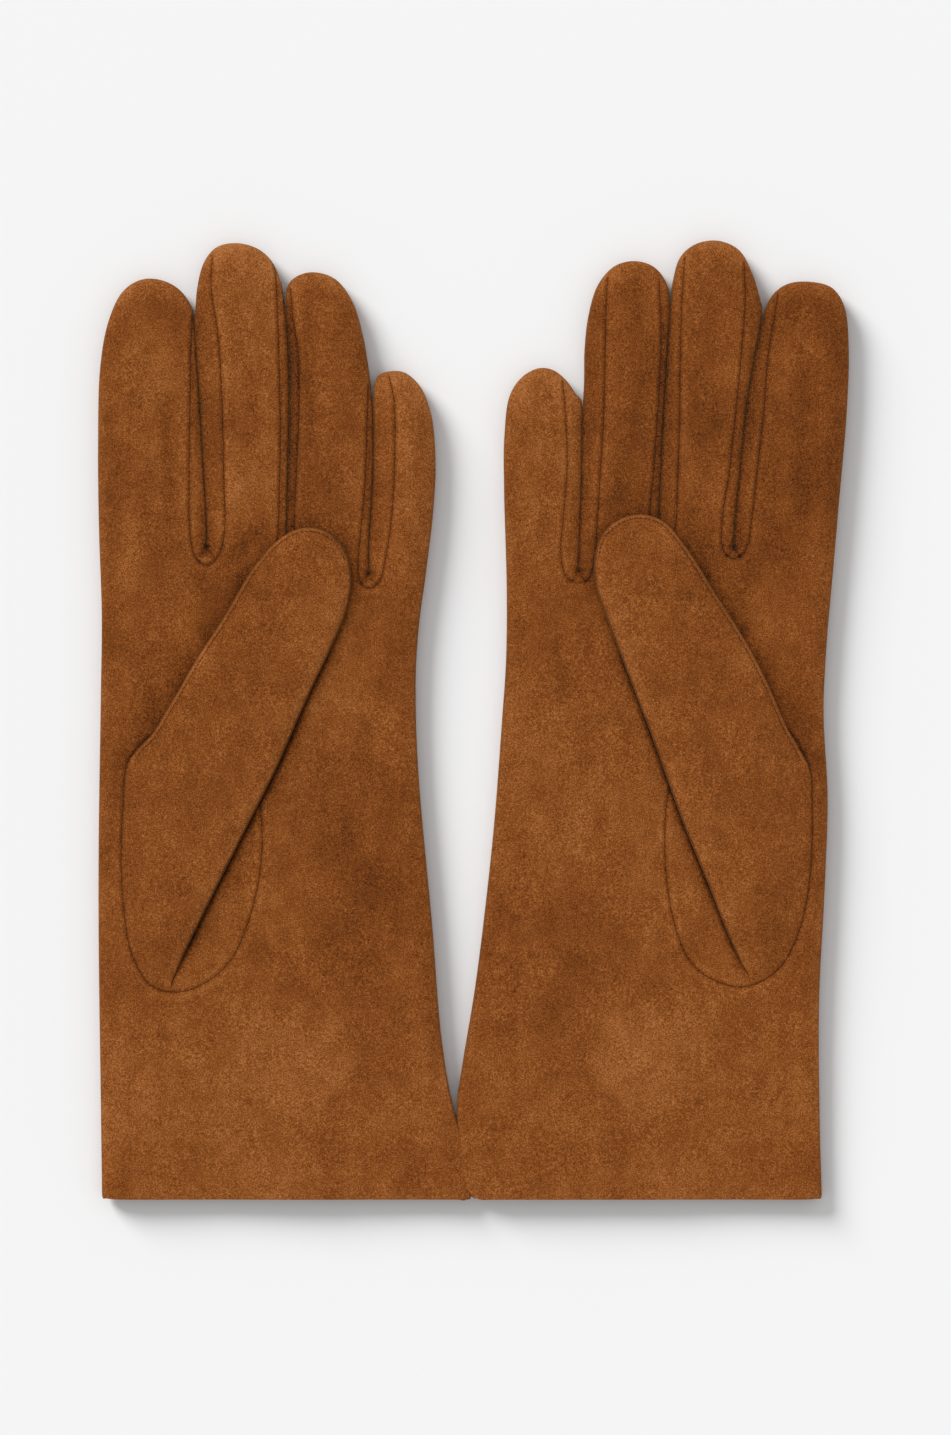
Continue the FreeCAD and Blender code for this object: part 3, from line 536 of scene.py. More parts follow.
def flat_mesh(outline, lines, rows):
    """Triangles that fill an outline, with edges along the lines and finer rows beside some."""
    scatter = Scatter()
    scatter.add_line(outline, closed=True)
    for line in lines:
        scatter.add_line(*line)
    for row in rows:
        scatter.add_rows(*row)
    low, high = outline.min(0), outline.max(0)
    for row, y in enumerate(np.arange(low[1] + GRID / 2, high[1], GRID * ROW_HEIGHT)):
        for x in np.arange(low[0] + (row % 2) * GRID / 2, high[0], GRID):
            scatter.add((x, y), GRID * GRID_ROOM)
    spots = [Vector(p) for p in scatter.points]
    made = geometry.delaunay_2d_cdt(spots, scatter.edges, [], 0, 1e-4, False)
    points = np.array([tuple(p) for p in made[0]])
    faces = np.array([tuple(f) for f in made[2]])
    faces = faces[inside(points[faces].mean(1), outline)]
    used, number = np.unique(faces, return_inverse=True)
    points, faces = points[used], number.reshape(-1, 3)
    a, b, c = (points[faces[:, k]] for k in range(3))
    turned = (b[:, 0] - a[:, 0]) * (c[:, 1] - a[:, 1]) < (b[:, 1] - a[:, 1]) * (c[:, 0] - a[:, 0])
    faces[turned] = faces[turned][:, ::-1]
    return points, faces


def sides_of(faces):
    """The directed edges of some triangles."""
    return np.vstack([faces[:, [0, 1]], faces[:, [1, 2]], faces[:, [2, 0]]])


def smoothed(values, faces, passes, free):
    """Values averaged with their neighbours', where free is above 0."""
    pairs = np.unique(np.sort(sides_of(faces), axis=1), axis=0)
    count = np.bincount(pairs.ravel(), minlength=len(values))
    for _ in range(passes):
        total = np.bincount(pairs[:, 0], values[pairs[:, 1]], len(values))
        total += np.bincount(pairs[:, 1], values[pairs[:, 0]], len(values))
        values = values + free * 0.5 * (total / np.maximum(count, 1) - values)
    return values


def swells(name, points, start=0.0):
    """Slow random swells of the leather, the same on every run."""
    total = np.zeros(len(points))
    for height, size, own in SWELLS[name]:
        spots = [Vector((x / size, y / size, start + own)) for x, y in points]
        total += height * np.array([noise.noise(spot) for spot in spots])
    return total


# ---- a skin and the pieces cut from it


class Skin:
    """A closed surface: a palm sheet and a back sheet over one flat mesh, welded round the outline."""

    def __init__(self, side, flat, faces, top, bottom, welded):
        faces = faces[~welded[faces].all(axis=1)]
        count = len(flat)
        under = np.arange(count)
        own = ~welded
        under[own] = count + np.arange(own.sum())
        self.side = side
        back = np.column_stack([flat[own], bottom[own]])
        self.points = np.vstack([np.column_stack([flat, top]), back])
        self.faces = np.vstack([faces, under[faces][:, ::-1]])
        self.on_back = np.repeat([False, True], len(faces))
        self.centres = np.vstack([flat[faces].mean(1)] * 2)
        self.own = own
        a, b, c = (self.points[self.faces[:, k]] for k in range(3))
        normals = np.zeros_like(self.points)
        for k in range(3):
            np.add.at(normals, self.faces[:, k], np.cross(b - a, c - a))
        self.normals = unit(normals)

    def surface(self):
        return bvhtree.BVHTree.FromPolygons(self.points.tolist(), self.faces.tolist())

    def paint(self, shade_top, lightening_top, shade_bottom, lightening_bottom):
        """Keeps how dark and how light the leather is painted at each point of the skin."""
        self.shade = np.concatenate([shade_top, shade_bottom[self.own]])
        self.lightening = np.concatenate([lightening_top, lightening_bottom[self.own]])


def boundary(faces):
    """The directed edges that only one of these faces has."""
    edges = sides_of(faces).tolist()
    there = set(map(tuple, edges))
    return np.array([edge for edge in edges if (edge[1], edge[0]) not in there], int).reshape(-1, 2)


def cut(name, skin, chosen, depths, extra_shade=0.0):
    """A closed piece: the chosen faces of a skin, from one depth below its outside to another."""
    used, number = np.unique(skin.faces[chosen], return_inverse=True)
    faces = number.reshape(-1, 3)
    size = len(used)
    points, normals = skin.points[used], skin.normals[used]
    outer, inner = (np.broadcast_to(np.asarray(d, float), len(skin.points))[used] for d in depths)
    both = np.vstack([points - normals * outer[:, None], points - normals * inner[:, None]])
    edge = boundary(faces)
    rim = np.column_stack([edge[:, 1], edge[:, 0], edge[:, 0] + size, edge[:, 1] + size])
    polygons = faces.tolist() + (faces[:, ::-1] + size).tolist() + rim.tolist()
    corner = np.vstack([normals[faces].reshape(-1, 3), -normals[faces[:, ::-1]].reshape(-1, 3)])
    along = both[rim[:, 1]] - both[rim[:, 0]]
    down = both[rim[:, 3]] - both[rim[:, 0]]
    corner = np.vstack([corner, np.repeat(unit(np.cross(along, down)), 4, axis=0)])
    shade = np.tile(skin.shade[used] + extra_shade, 2)
    lightening = np.tile(skin.lightening[used], 2)
    return build(name, skin.side, both, polygons, shade, lightening, corner)


def glove_origin(side):
    """Where a glove's own flat frame starts in the frame of the whole part, in mm."""
    low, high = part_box(side + "_thumb_base")
    oval = np.array(PATTERN[side]["oval"])
    middle = (oval[:, 0].min() + oval[:, 0].max()) / 2
    x = (low.x + high.x) / 2 / METRE - MIRROR[side] * middle
    return x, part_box(side + "_trank")[0].y / METRE


ORIGIN = {side: glove_origin(side) for side in MIRROR}


def placed(side, points):
    """Points of a glove's own flat frame, in metres in the frame of the whole part."""
    points = np.asarray(points, float)
    x, y = ORIGIN[side]
    moved = np.column_stack([x + MIRROR[side] * points[:, 0], y + points[:, 1], points[:, 2]])
    return moved * METRE


def new_object(name, data):
    thing = bpy.data.objects.new(name, data)
    bpy.context.scene.collection.objects.link(thing)
    return thing


def build(name, side, points, polygons, shade, lightening, corner=None):
    """A mesh object from points in a glove's own frame."""
    if MIRROR[side] < 0:
        polygons = [polygon[::-1] for polygon in polygons]
    mesh = bpy.data.meshes.new(name)
    mesh.from_pydata(placed(side, points).tolist(), [], polygons)
    mesh.shade_smooth()
    for title, values in (("shade", shade), ("lightening", lightening)):
        layer = mesh.attributes.new(title, "FLOAT", "POINT")
        layer.data.foreach_set("value", np.asarray(values, np.float32))
    place = mesh.attributes.new("rest_place", "FLOAT_VECTOR", "POINT")
    place.data.foreach_set("vector", np.asarray(points, np.float32).ravel())
    if corner is not None:
        corner = corner * [MIRROR[side], 1, 1]
        if MIRROR[side] < 0:
            stops = np.cumsum([len(polygon) for polygon in polygons])
            corner = np.vstack([part[::-1] for part in np.split(corner, stops[:-1])])
        mesh.normals_split_custom_set(corner.tolist())
    mesh.update()
    return new_object(name, mesh)


# ---- materials


class Nodes:
    """A short way to write a material's nodes."""

    def __init__(self, name):
        self.material = bpy.data.materials.new(name)
        self.material.use_nodes = True
        self.tree = self.material.node_tree
        self.shader = self.tree.nodes["Principled BSDF"]

    def add(self, kind, inputs=(), **settings):
        """A new node with its settings, and its inputs by name or number."""
        node = self.tree.nodes.new(kind)
        for key, value in settings.items():
            setattr(node, key, value)
        for key, value in dict(inputs).items():
            self.put(value, node.inputs[key])
        return node

    def put(self, value, socket):
        if isinstance(value, bpy.types.NodeSocket):
            self.tree.links.new(value, socket)
        else:
            socket.default_value = value

    def shade(self, title, value):
        self.put(value, self.shader.inputs[title])

    def math(self, operation, *values):
        return self.add("ShaderNodeMath", enumerate(values), operation=operation).outputs[0]

    def stretched(self, scale):
        place = self.add("ShaderNodeAttribute", attribute_name="rest_place").outputs["Vector"]
        return self.add("ShaderNodeMapping", {"Vector": place, "Scale": scale}).outputs[0]

    def noise(self, size, detail=2.0, scale=(1, 1, 1), roughness=0.5):
        """Noise about 0, whose blotches are this many mm across before stretching."""
        place = self.stretched([s / size for s in scale])
        inputs = {"Vector": place, "Scale": 1.0, "Detail": detail, "Roughness": roughness}
        return self.math("SUBTRACT", self.add("ShaderNodeTexNoise", inputs).outputs["Fac"], 0.5)

    def bands(self, direction, scale):
        inputs = {"Vector": self.stretched(scale), "Scale": 0.5}
        return self.add("ShaderNodeTexWave", inputs, bands_direction=direction).outputs["Fac"]

    def attribute(self, name):
        return self.add("ShaderNodeAttribute", attribute_name=name).outputs["Fac"]

    def total(self, value, *weighted):
        """A value plus some others, each times its weight."""
        for source, weight in weighted:
            value = self.math("MULTIPLY_ADD", source, weight, value)
        return value

    def ramp(self, value, stops):
        node = self.add("ShaderNodeValToRGB", {"Fac": value})
        elements = node.color_ramp.elements
        for position, colour in stops[1:-1]:
            elements.new(position).color = (*colour, 1)
        for element, (position, colour) in ((elements[0], stops[0]), (elements[-1], stops[-1])):
            element.position = position
            element.color = (*colour, 1)
        return node.outputs["Color"]

    def bump(self, height, depth, strength=1.0):
        inputs = {"Height": height, "Distance": depth * METRE, "Strength": strength}
        self.shade("Normal", self.add("ShaderNodeBump", inputs).outputs["Normal"])


# The suede's colours from darkest to lightest; the near-black end is reached where deep shade is painted
# into the creases.
SUEDE = [
    (0.0, (0.008, 0.002, 0.0005)),
    (0.16, (0.050, 0.0125, 0.0020)),
    (0.37, (0.120, 0.0315, 0.0046)),
    (0.60, (0.208, 0.0555, 0.0074)),
    (0.81, (0.305, 0.099, 0.021)),
    (1.0, (0.43, 0.162, 0.048)),
]
KNIT_BROWN = [(0.0, (0.035, 0.014, 0.006)), (0.5, (0.11, 0.05, 0.02)), (1.0, (0.19, 0.10, 0.045))]
THREAD_BROWN = [(0.0, (0.036, 0.009, 0.002)), (0.5, (0.080, 0.022, 0.004)), (1.0, (0.15, 0.045, 0.009))]
WALE = 1.1  # spacing of the ribs of the knit
COURSE = 0.8  # spacing of its rows


def suede():
    """Brushed suede: a short nap that lies in dark and light patches, with painted shade and painted
    highlights taken from the skin's attributes.
    """
    nodes = Nodes("suede")
    nap = nodes.noise(0.36, 1.0)
    grain = nodes.noise(0.9, 2.0, roughness=0.6)
    fibre = nodes.noise(1.6, 2.0, scale=(1.5, 0.8, 1))
    mottle = nodes.noise(5.5, 3.0, roughness=0.6)
    blotch = nodes.noise(30.0, 2.0)
    brushed = nodes.noise(9.0, 3.0, scale=(1.4, 0.5, 1), roughness=0.6)
    # The first attribute darkens it: painted shade in seams, creases, gaps, edges and under the thumb,
    # with each finger's and patch's own tone. The second lightens it: painted highlights on edges,
    # fingertips, seam ridges and domes, with a lighter cuff and thumb.
    tone = nodes.total(
        0.605, (nap, 1.20), (grain, 0.42), (fibre, 0.18), (mottle, 0.28), (blotch, 0.40),
        (brushed, 0.30), (nodes.attribute("shade"), -0.55), (nodes.attribute("lightening"), 0.26),
    )
    nodes.shade("Base Color", nodes.ramp(tone, SUEDE))
    nodes.shade("Roughness", nodes.total(0.93, (nap, 0.10), (blotch, 0.06)))
    nodes.shade("Specular IOR Level", 0.12)
    nodes.shade("Sheen Weight", 0.30)
    nodes.shade("Sheen Roughness", 0.45)
    nodes.shade("Sheen Tint", (0.80, 0.42, 0.14, 1))
    height = nodes.total(0.0, (nap, 0.7), (grain, 1.0), (fibre, 0.7), (mottle, 0.9))
    nodes.bump(height, depth=0.30, strength=0.7)
    return nodes.material


def knit():
    """A fine rib knit for the lining."""
    nodes = Nodes("lining_knit")
    wales = nodes.bands("X", (1 / WALE, 0, 0))
    courses = nodes.bands("Y", (0, 1 / COURSE, 0))
    loops = nodes.math("MULTIPLY", wales, courses)
    uneven = nodes.noise(0.7, 2.0)
    tone = nodes.total(0.3, (loops, 0.5), (uneven, 0.5))
    nodes.shade("Base Color", nodes.ramp(tone, KNIT_BROWN))
    nodes.shade("Roughness", nodes.total(0.88, (uneven, 0.1)))
    nodes.shade("Sheen Weight", 0.2)
    nodes.bump(nodes.total(0.0, (loops, 1.0), (uneven, 0.3)), depth=0.25)
    return nodes.material


def thread():
    """Matt sewing thread with a faint twist."""
    nodes = Nodes("seam_thread")
    twist = nodes.noise(0.25, 1.0)
    batch = nodes.noise(12.0, 1.0)
    tone = nodes.total(0.5, (twist, 0.8), (batch, 0.4))
    nodes.shade("Base Color", nodes.ramp(tone, THREAD_BROWN))
    nodes.shade("Roughness", nodes.total(0.8, (twist, 0.15)))
    nodes.shade("Specular IOR Level", 0.15)
    nodes.bump(twist, depth=0.05)
    return nodes.material


MATERIALS = {"suede": suede(), "lining_knit": knit(), "seam_thread": thread()}


def finish_piece(thing, node, slot, bodies):
    """Gives a piece its material, hangs it under its body when it has only one, and hides the CAD part
    it stands for.
    """
    thing.data.materials.append(MATERIALS[slot])
    if len(bodies) == 1:
        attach(thing, bodies[0])
    else:
        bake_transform(thing)
    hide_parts(node)


# ---- the hand of a glove


class Hand:
    """The hand and fingers of one glove: its outline, seams, skin and pieces."""

    def __init__(self, side):
        self.side = side
        self.pattern = PATTERN[side]
        leathers = [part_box(f"{side}_{finger}_leather")[0] for finger in FINGERS]
        self.hinges = [low.y / METRE - ORIGIN[side][1] for low in leathers]
        self.draw_lines()
        self.fill()
        self.measure()
        self.raise_sheets()
        self.paint()
        self.name_faces()

    def draw_lines(self):
        """The outline, the seams and the creases, as lines of evenly spaced points."""
        gaps = [np.array(gap, float) for gap in self.pattern["gaps"]]
        self.gaps = [spaced(gap, STEP) for gap in gaps]
        stretches = []
        for number, finger in enumerate(FINGERS):
            points = [np.array(self.pattern[finger], float)]
            if number > 0:
                points = [gaps[number - 1]] + points
            if number < len(gaps):
                points = points + [gaps[number][::-1]]
            stretch = spaced(np.vstack(points), STEP)
            top = np.argmax(stretch[:, 1])
            if number > 0:
                self.part_fingers(stretch[:top], number - 1, 1)
            if number < len(gaps):
                self.part_fingers(stretch[top:], number, -1)
            stretches.append(stretch)
        self.edge = np.vstack([stretches[0]] + [stretch[1:] for stretch in stretches[1:]])
        cuff = resampled(np.vstack([self.edge[-1], self.edge[0]]), STEP)
        self.outline = np.vstack([self.edge, cuff[1:-1]])
        self.forks = [spaced(fork, STEP) for fork in self.pattern["forks"]]
        self.oval = spaced(self.pattern["oval"], STEP, closed=True)
        self.crease = spaced(self.pattern["crease"], STEP)
        self.thumb_tip = spaced(self.pattern["crease"][-3:] + self.pattern["tip"], STEP)
        self.legs = []
        for gap in gaps:
            for way in (-1, 1):
                foot = gap[0] + [way * CROTCH_LEG[0], -CROTCH_LEG[1]]
                belly = gap[0] + (foot - gap[0]) * CROTCH_BELLY
                self.legs.append(spaced([gap[0], belly, foot], LEG_STEP))
        self.hem_line = self.level_line(HEM_DEPTH, *BESIDE)

    def part_fingers(self, edge, number, way):
        """Lays a finger's edge beside a gap, and keeps it on its own side above the gap."""
        low, high = self.gaps[number][0, 1], self.gaps[number][-1, 1]
        across, along = edge.T
        limit = self.gap_at(number, along) + way * GAP_HALF * slope("gap_start", along - low)
        beside = (along > low) & (along < high - GAP_FREE)
        clear = limit + way * GAP_APART * slope("gap_end", along - high + GAP_FREE)
        crossing = ~beside & (way * (across - clear) < 0) & (along > low)
        edge[beside, 0] = limit[beside]
        edge[crossing, 0] = clear[crossing]

    def level_line(self, along, start, stop):
        """A straight line across, cut off at the outline."""
        line = resampled(np.array([(start, along), (stop, along)], float), STEP)
        return line[inside(line, self.outline)]

    def pressed_crease(self):
        return self.crease[self.crease[:, 1] < CREASE_TOP]

    def hinge_lines(self):
        """Where each finger's leather is parted from the hand's."""
        lines = []
        for number, along in enumerate(self.hinges):
            middles = [self.gap_at(n, along) for n in range(len(self.gaps))]
            sides = [BESIDE[0], *middles, BESIDE[1]]
            lines.append(self.level_line(along, sides[number], sides[number + 1]))
        return lines

    def gap_at(self, number, along):
        """How far across the middle of a gap is."""
        gap = self.gaps[number]
        return np.interp(along, gap[:, 1], gap[:, 0])

    def finger_at(self, points):
        """The number of the finger that each point lies in or below."""
        across, along = points.T[:2]
        return np.sum([across > self.gap_at(n, along) for n in range(len(self.gaps))], axis=0)

    def fill(self):
        lines = [(fork,) for fork in self.forks] + [(self.oval, True), (self.hem_line,)]
        lines += [(line,) for line in self.hinge_lines()]
        rows = [(self.edge, [-row for row in OUTLINE_ROWS])]
        rows += [(fork, SEAM_ROWS) for fork in self.forks]
        rows += [(self.oval, SEAM_ROWS, True)]
        rows += [(leg, LEG_ROWS) for leg in self.legs]
        rows += [(self.pressed_crease(), CREASE_ROWS)]
        cuff = self.outline[len(self.edge):]
        rows += [(cuff, CUFF_ROWS), (cuff, [-row for row in CUFF_ROWS])]
        self.flat, self.faces = flat_mesh(self.outline, lines, rows)

    def measure(self):
        """How far each flat point is from the lines that shape and mark the leather."""
        flat = self.flat
        self.away, nearest = distance(flat, self.edge)
        self.press = self.pressed(self.edge[:-1])[nearest]
        self.seam = away_from(flat, *self.forks)
        self.groove = np.minimum(self.seam, away_from(flat, closed_up(self.oval)))
        self.leg = away_from(flat, *self.legs)
        lower = self.pressed_crease()
        self.fold, nearest = distance(flat, lower)
        along = lower[nearest, 1]
        self.folded = slope("crease_start", along) * slope("crease_end", along)
        self.pit = away_from_spots(flat, [gap[0] - [0, CROTCH_PIT] for gap in self.gaps])
        bottoms = [fork[np.argmin(fork[:, 1])] for fork in self.forks]
        self.dome = away_from_spots(flat, [bottom + [0, QUIRK_RISE] for bottom in bottoms])
        self.soft = np.zeros(len(flat))
        for x1, y1, x2, y2, width, height in FOLDS[self.side]:
            self.soft += height * bell(away_from(flat, [(x1, y1), (x2, y2)]), width)

    def raise_sheets(self):
        """Turns the flat mesh into one closed skin."""
        flat, away, press = self.flat, self.away, self.press
        along = flat[:, 1]
        room = smoothstep(away / OPEN_ROUNDING)
        start = SWELL_START[self.side]
        level = CUFF_LEVEL + (HAND_LEVEL - CUFF_LEVEL) * slope("cuff_to_palm", along)
        level += (FINGER_LEVEL - HAND_LEVEL) * slope("palm_to_fingers", along)
        level += room * swells("palm", flat, start)
        level += slope("cuff_swell", along) * swells("cuff", flat, start)
        rounding = OPEN_ROUNDING + (GAP_ROUNDING - OPEN_ROUNDING) * press
        edge_level = EDGE_LEVEL + (GAP_LEVEL - EDGE_LEVEL) * press
        power = CROWN + (GAP_CROWN - CROWN) * press
        top = edge_level + (level - edge_level) * crowned(away / rounding, power)
        top = smoothed(top, self.faces, SMOOTH_PASSES, (away > WELDED) * slope("edge_smooth", away))
        depth = slope("edge_groove", away)
        for name, near in (("seam", self.groove), ("leg", self.leg), ("pit", self.pit)):
            top += depth * mark(name + "_groove", near)
        top += self.folded * mark("crease_groove", self.fold)
        top += mark("dome_rise", self.dome)
        top += room * self.soft
        bottom = edge_level * (1 - crowned(away / BACK_ROUNDING))
        bottom = np.maximum(bottom + depth * mark("back_groove", self.seam), 0.0)
        self.top = top
        self.skin = Skin(self.side, flat, self.faces, top, bottom, away < WELDED)

    def paint(self):
        """Paints shade into the seams, creases, gaps and edges and beside the thumb's tip, and paints
        highlights on the edges, fingertips, seam ridges and quirk domes.
        """
        flat, along = self.flat, self.flat[:, 1]
        finger = self.finger_at(flat)
        both = mark("edge_shade", self.away) + mark("gap_shade", away_from(flat, *self.gaps))
        shade = both + np.array(FINGER_TONE[self.side])[finger] * slope("finger_tone", along)
        for name, near in (("seam", self.groove), ("leg", self.leg), ("pit", self.pit)):
            shade += mark(name + "_shade", near)
        shade += self.folded * mark("crease_shade", self.fold)
        shade += mark("under_thumb_shade", away_from(flat, self.thumb_tip))
        shade += FOLD_SHADE * self.soft
        for x, y, radius, amount in NAP_PATCHES[self.side]:
            shade -= amount * bell(away_from_spots(flat, [(x, y)]), radius)
        tops = np.array([np.max(self.pattern[name], axis=0)[1] for name in FINGERS])[finger]
        # Painted highlights beside the seams, along the open edges away from the gaps, on the fingertips
        # and on the quirk domes; the cuff is painted lighter towards its edge.
        lightening = mark("seam_highlight", self.groove) + mark("edge_highlight", self.away) * (1 - self.press)
        lightening += mark("tip_highlight", self.away) * slope("tip_highlight", along - tops)
        lightening += mark("dome_highlight", self.dome) + CUFF_LIGHTENING * slope("cuff_lightening", along)
        shade_back = np.clip(both + mark("back_shade", self.seam), 0, 1)
        self.skin.paint(np.clip(shade, *SHADE_RANGE), lightening, shade_back, np.zeros(len(flat)))

    def pressed(self, points):
        """How far each point of the outline presses against another finger, from 0 to 1."""
        facing = (away_from(points, *self.gaps) < PRESS_REACH).astype(float)
        window = np.hanning(PRESS_WINDOW)
        return np.convolve(facing, window / window.sum(), "same")

    def name_faces(self):
        """The piece that each face of the skin belongs to."""
        centres = self.skin.centres
        self.finger = self.finger_at(centres)
        self.beyond = centres[:, 1] > np.array(self.hinges)[self.finger]
        leathers = np.array([name + "_leather" for name in FINGERS])
        self.part = np.where(self.beyond, leathers[self.finger], "trank").astype("U40")
        for number, (near, far) in enumerate(FORKS):
            fork = self.forks[number]
            between = inside(centres, np.vstack([fork, fork[-1] + ROOF[0], fork[0] + ROOF[1]]))
            self.part[between & ~self.beyond] = f"quirk_{near}_{far}"
            between &= self.beyond
            self.part[between & (self.finger == number)] = near + "_fourchette_outer"
            self.part[between & (self.finger == number + 1)] = far + "_fourchette_inner"
        self.part[inside(centres, self.oval) & ~self.skin.on_back] = "thumb_base"

    def depths(self, first, last):
        """Depths below the skin, less deep layers rolled over at the cuff edge."""
        along = np.clip(self.skin.points[:, 1] / ROLL, 0, 1)
        roll = 1 - np.sqrt(1 - (1 - along) ** 2)
        middle = (first + last) / 2
        return first + (middle - first) * ROLL_SHARE * roll, last - (last - middle) * ROLL_SHARE * roll

    def make_pieces(self):
        body = self.side + "_hand"
        for part in sorted(set(self.part.tolist())):
            node = f"{self.side}_{part}"
            # The strips between the fingers are painted darker: partly shade, partly their own tone.
            darker = STRIP_SHADE_AND_TONE[self.side].get(part, 0.0)
            depths = self.depths(0.0, LEATHER) if part == "trank" else (0.0, LEATHER)
            thing = cut(node + "_suede", self.skin, self.part == part, depths, darker)
            self.finish(thing, node, "suede", part.split("_")[0])
        low = self.skin.centres[:, 1] < HEM_DEPTH
        hem = cut(self.side + "_cuff_hem_suede", self.skin, low, self.depths(*HEM))
        finish_piece(hem, self.side + "_cuff_hem", "suede", [body])
        names = np.where(self.beyond, np.array(FINGERS)[self.finger], "hand")
        pinched = away_from_spots(self.skin.centres, [gap[0] for gap in self.gaps]) < PINCH
        for name in FINGERS + ("hand",):
            node = f"{self.side}_{name}_lining"
            thing = cut(node + "_knit", self.skin, (names == name) & ~low & ~pinched, KNIT)
            self.finish(thing, node, "lining_knit", name)

    def finish(self, thing, node, slot, name):
        """A finger's piece spans the hand and its finger and is only baked in place, any other rides on
        the hand.
        """
        body = self.side + "_hand"
        if name in FINGERS:
            finish_piece(thing, node, slot, [body, f"{self.side}_{name}"])
        else:
            finish_piece(thing, node, slot, [body])

    def make_stitches(self):
        """Threads along the seams, palm and back, shared out between the hand and the fingers."""
        surface = self.skin.surface()
        runs = [(fork, False, way) for fork in self.forks for way in (1, -1)] + [(self.oval, True, 1)]
        stitches = {name: [] for name in FINGERS + ("hand",)}
        for line, closed, way in runs:
            for middle, along in stitch_places(line, closed):
                finger = self.finger_at(middle)
                name = FINGERS[finger] if middle[1] > self.hinges[finger] else "hand"
                stitch = laid(surface, middle, along, way)
                if stitch:
                    stitches[name].append(stitch)
        for name, found in stitches.items():
            node = f"{self.side}_{name}_stitching"
            self.finish(thread_mesh(node + "_thread", self.side, found), node, "seam_thread", name)


# ---- stitches


def stitch_places(line, closed):
    """The middle and direction of each stitch along a seam."""
    if closed:
        line = closed_up(line)
    even = resampled(line, STITCH_PITCH / 2)
    return [(even[n], even[n + 1] - even[n - 1]) for n in range(1, len(even) - 1, 2)]


def laid(surface, middle, along, way):
    """A stitch's ends and middle on the surface, seen from above (1) or below (-1)."""
    along = along / np.linalg.norm(along) * STITCH_LENGTH / 2
    places = []
    for share in (-1, 0, 1):
        x, y = middle + share * along
        hit, normal, _, _ = surface.ray_cast(Vector((x, y, ABOVE * way)), Vector((0, 0, -way)))
        if hit is None or abs(normal.z) < STITCH_LEVEL:
            return None
        places.append(np.array(hit) + np.array(normal) * (-STITCH_SINK if share else STITCH_RISE))
    return places


def thread_mesh(name, side, stitches):
    """One mesh of many short threads, each a closed tube that is thickest in its middle."""
    turns = [math.tau * k / TUBE_SIDES for k in range(TUBE_SIDES)]
    points, polygons = [], []
    for a, b, c in stitches:
        along = (c - a) / np.linalg.norm(c - a)
        beside = np.cross(along, (0, 0, 1))
        beside /= np.linalg.norm(beside)
        up = np.cross(beside, along)
        bulge = up * STITCH_BULGE
        centres = [a, (a + b) / 2 + bulge, b, (b + c) / 2 + bulge, c]
        first = len(points)
        for centre, size in zip(centres, STITCH_SIZES):
            for turn in turns:
                reach = beside * math.cos(turn) * STITCH_WIDE + up * math.sin(turn)
                points.append(centre + reach * size * STITCH_RADIUS)
        for ring in range(first, len(points) - TUBE_SIDES, TUBE_SIDES):
            for k in range(TUBE_SIDES):
                here, there = ring + k, ring + (k + 1) % TUBE_SIDES
                polygons.append([here, here + TUBE_SIDES, there + TUBE_SIDES, there])
        polygons.append(list(range(first, first + TUBE_SIDES)))
        polygons.append(list(range(len(points) - 1, len(points) - 1 - TUBE_SIDES, -1)))
    blank = np.zeros(len(points))
    return build(name, side, np.array(points), polygons, blank, blank)


# ---- the thumb


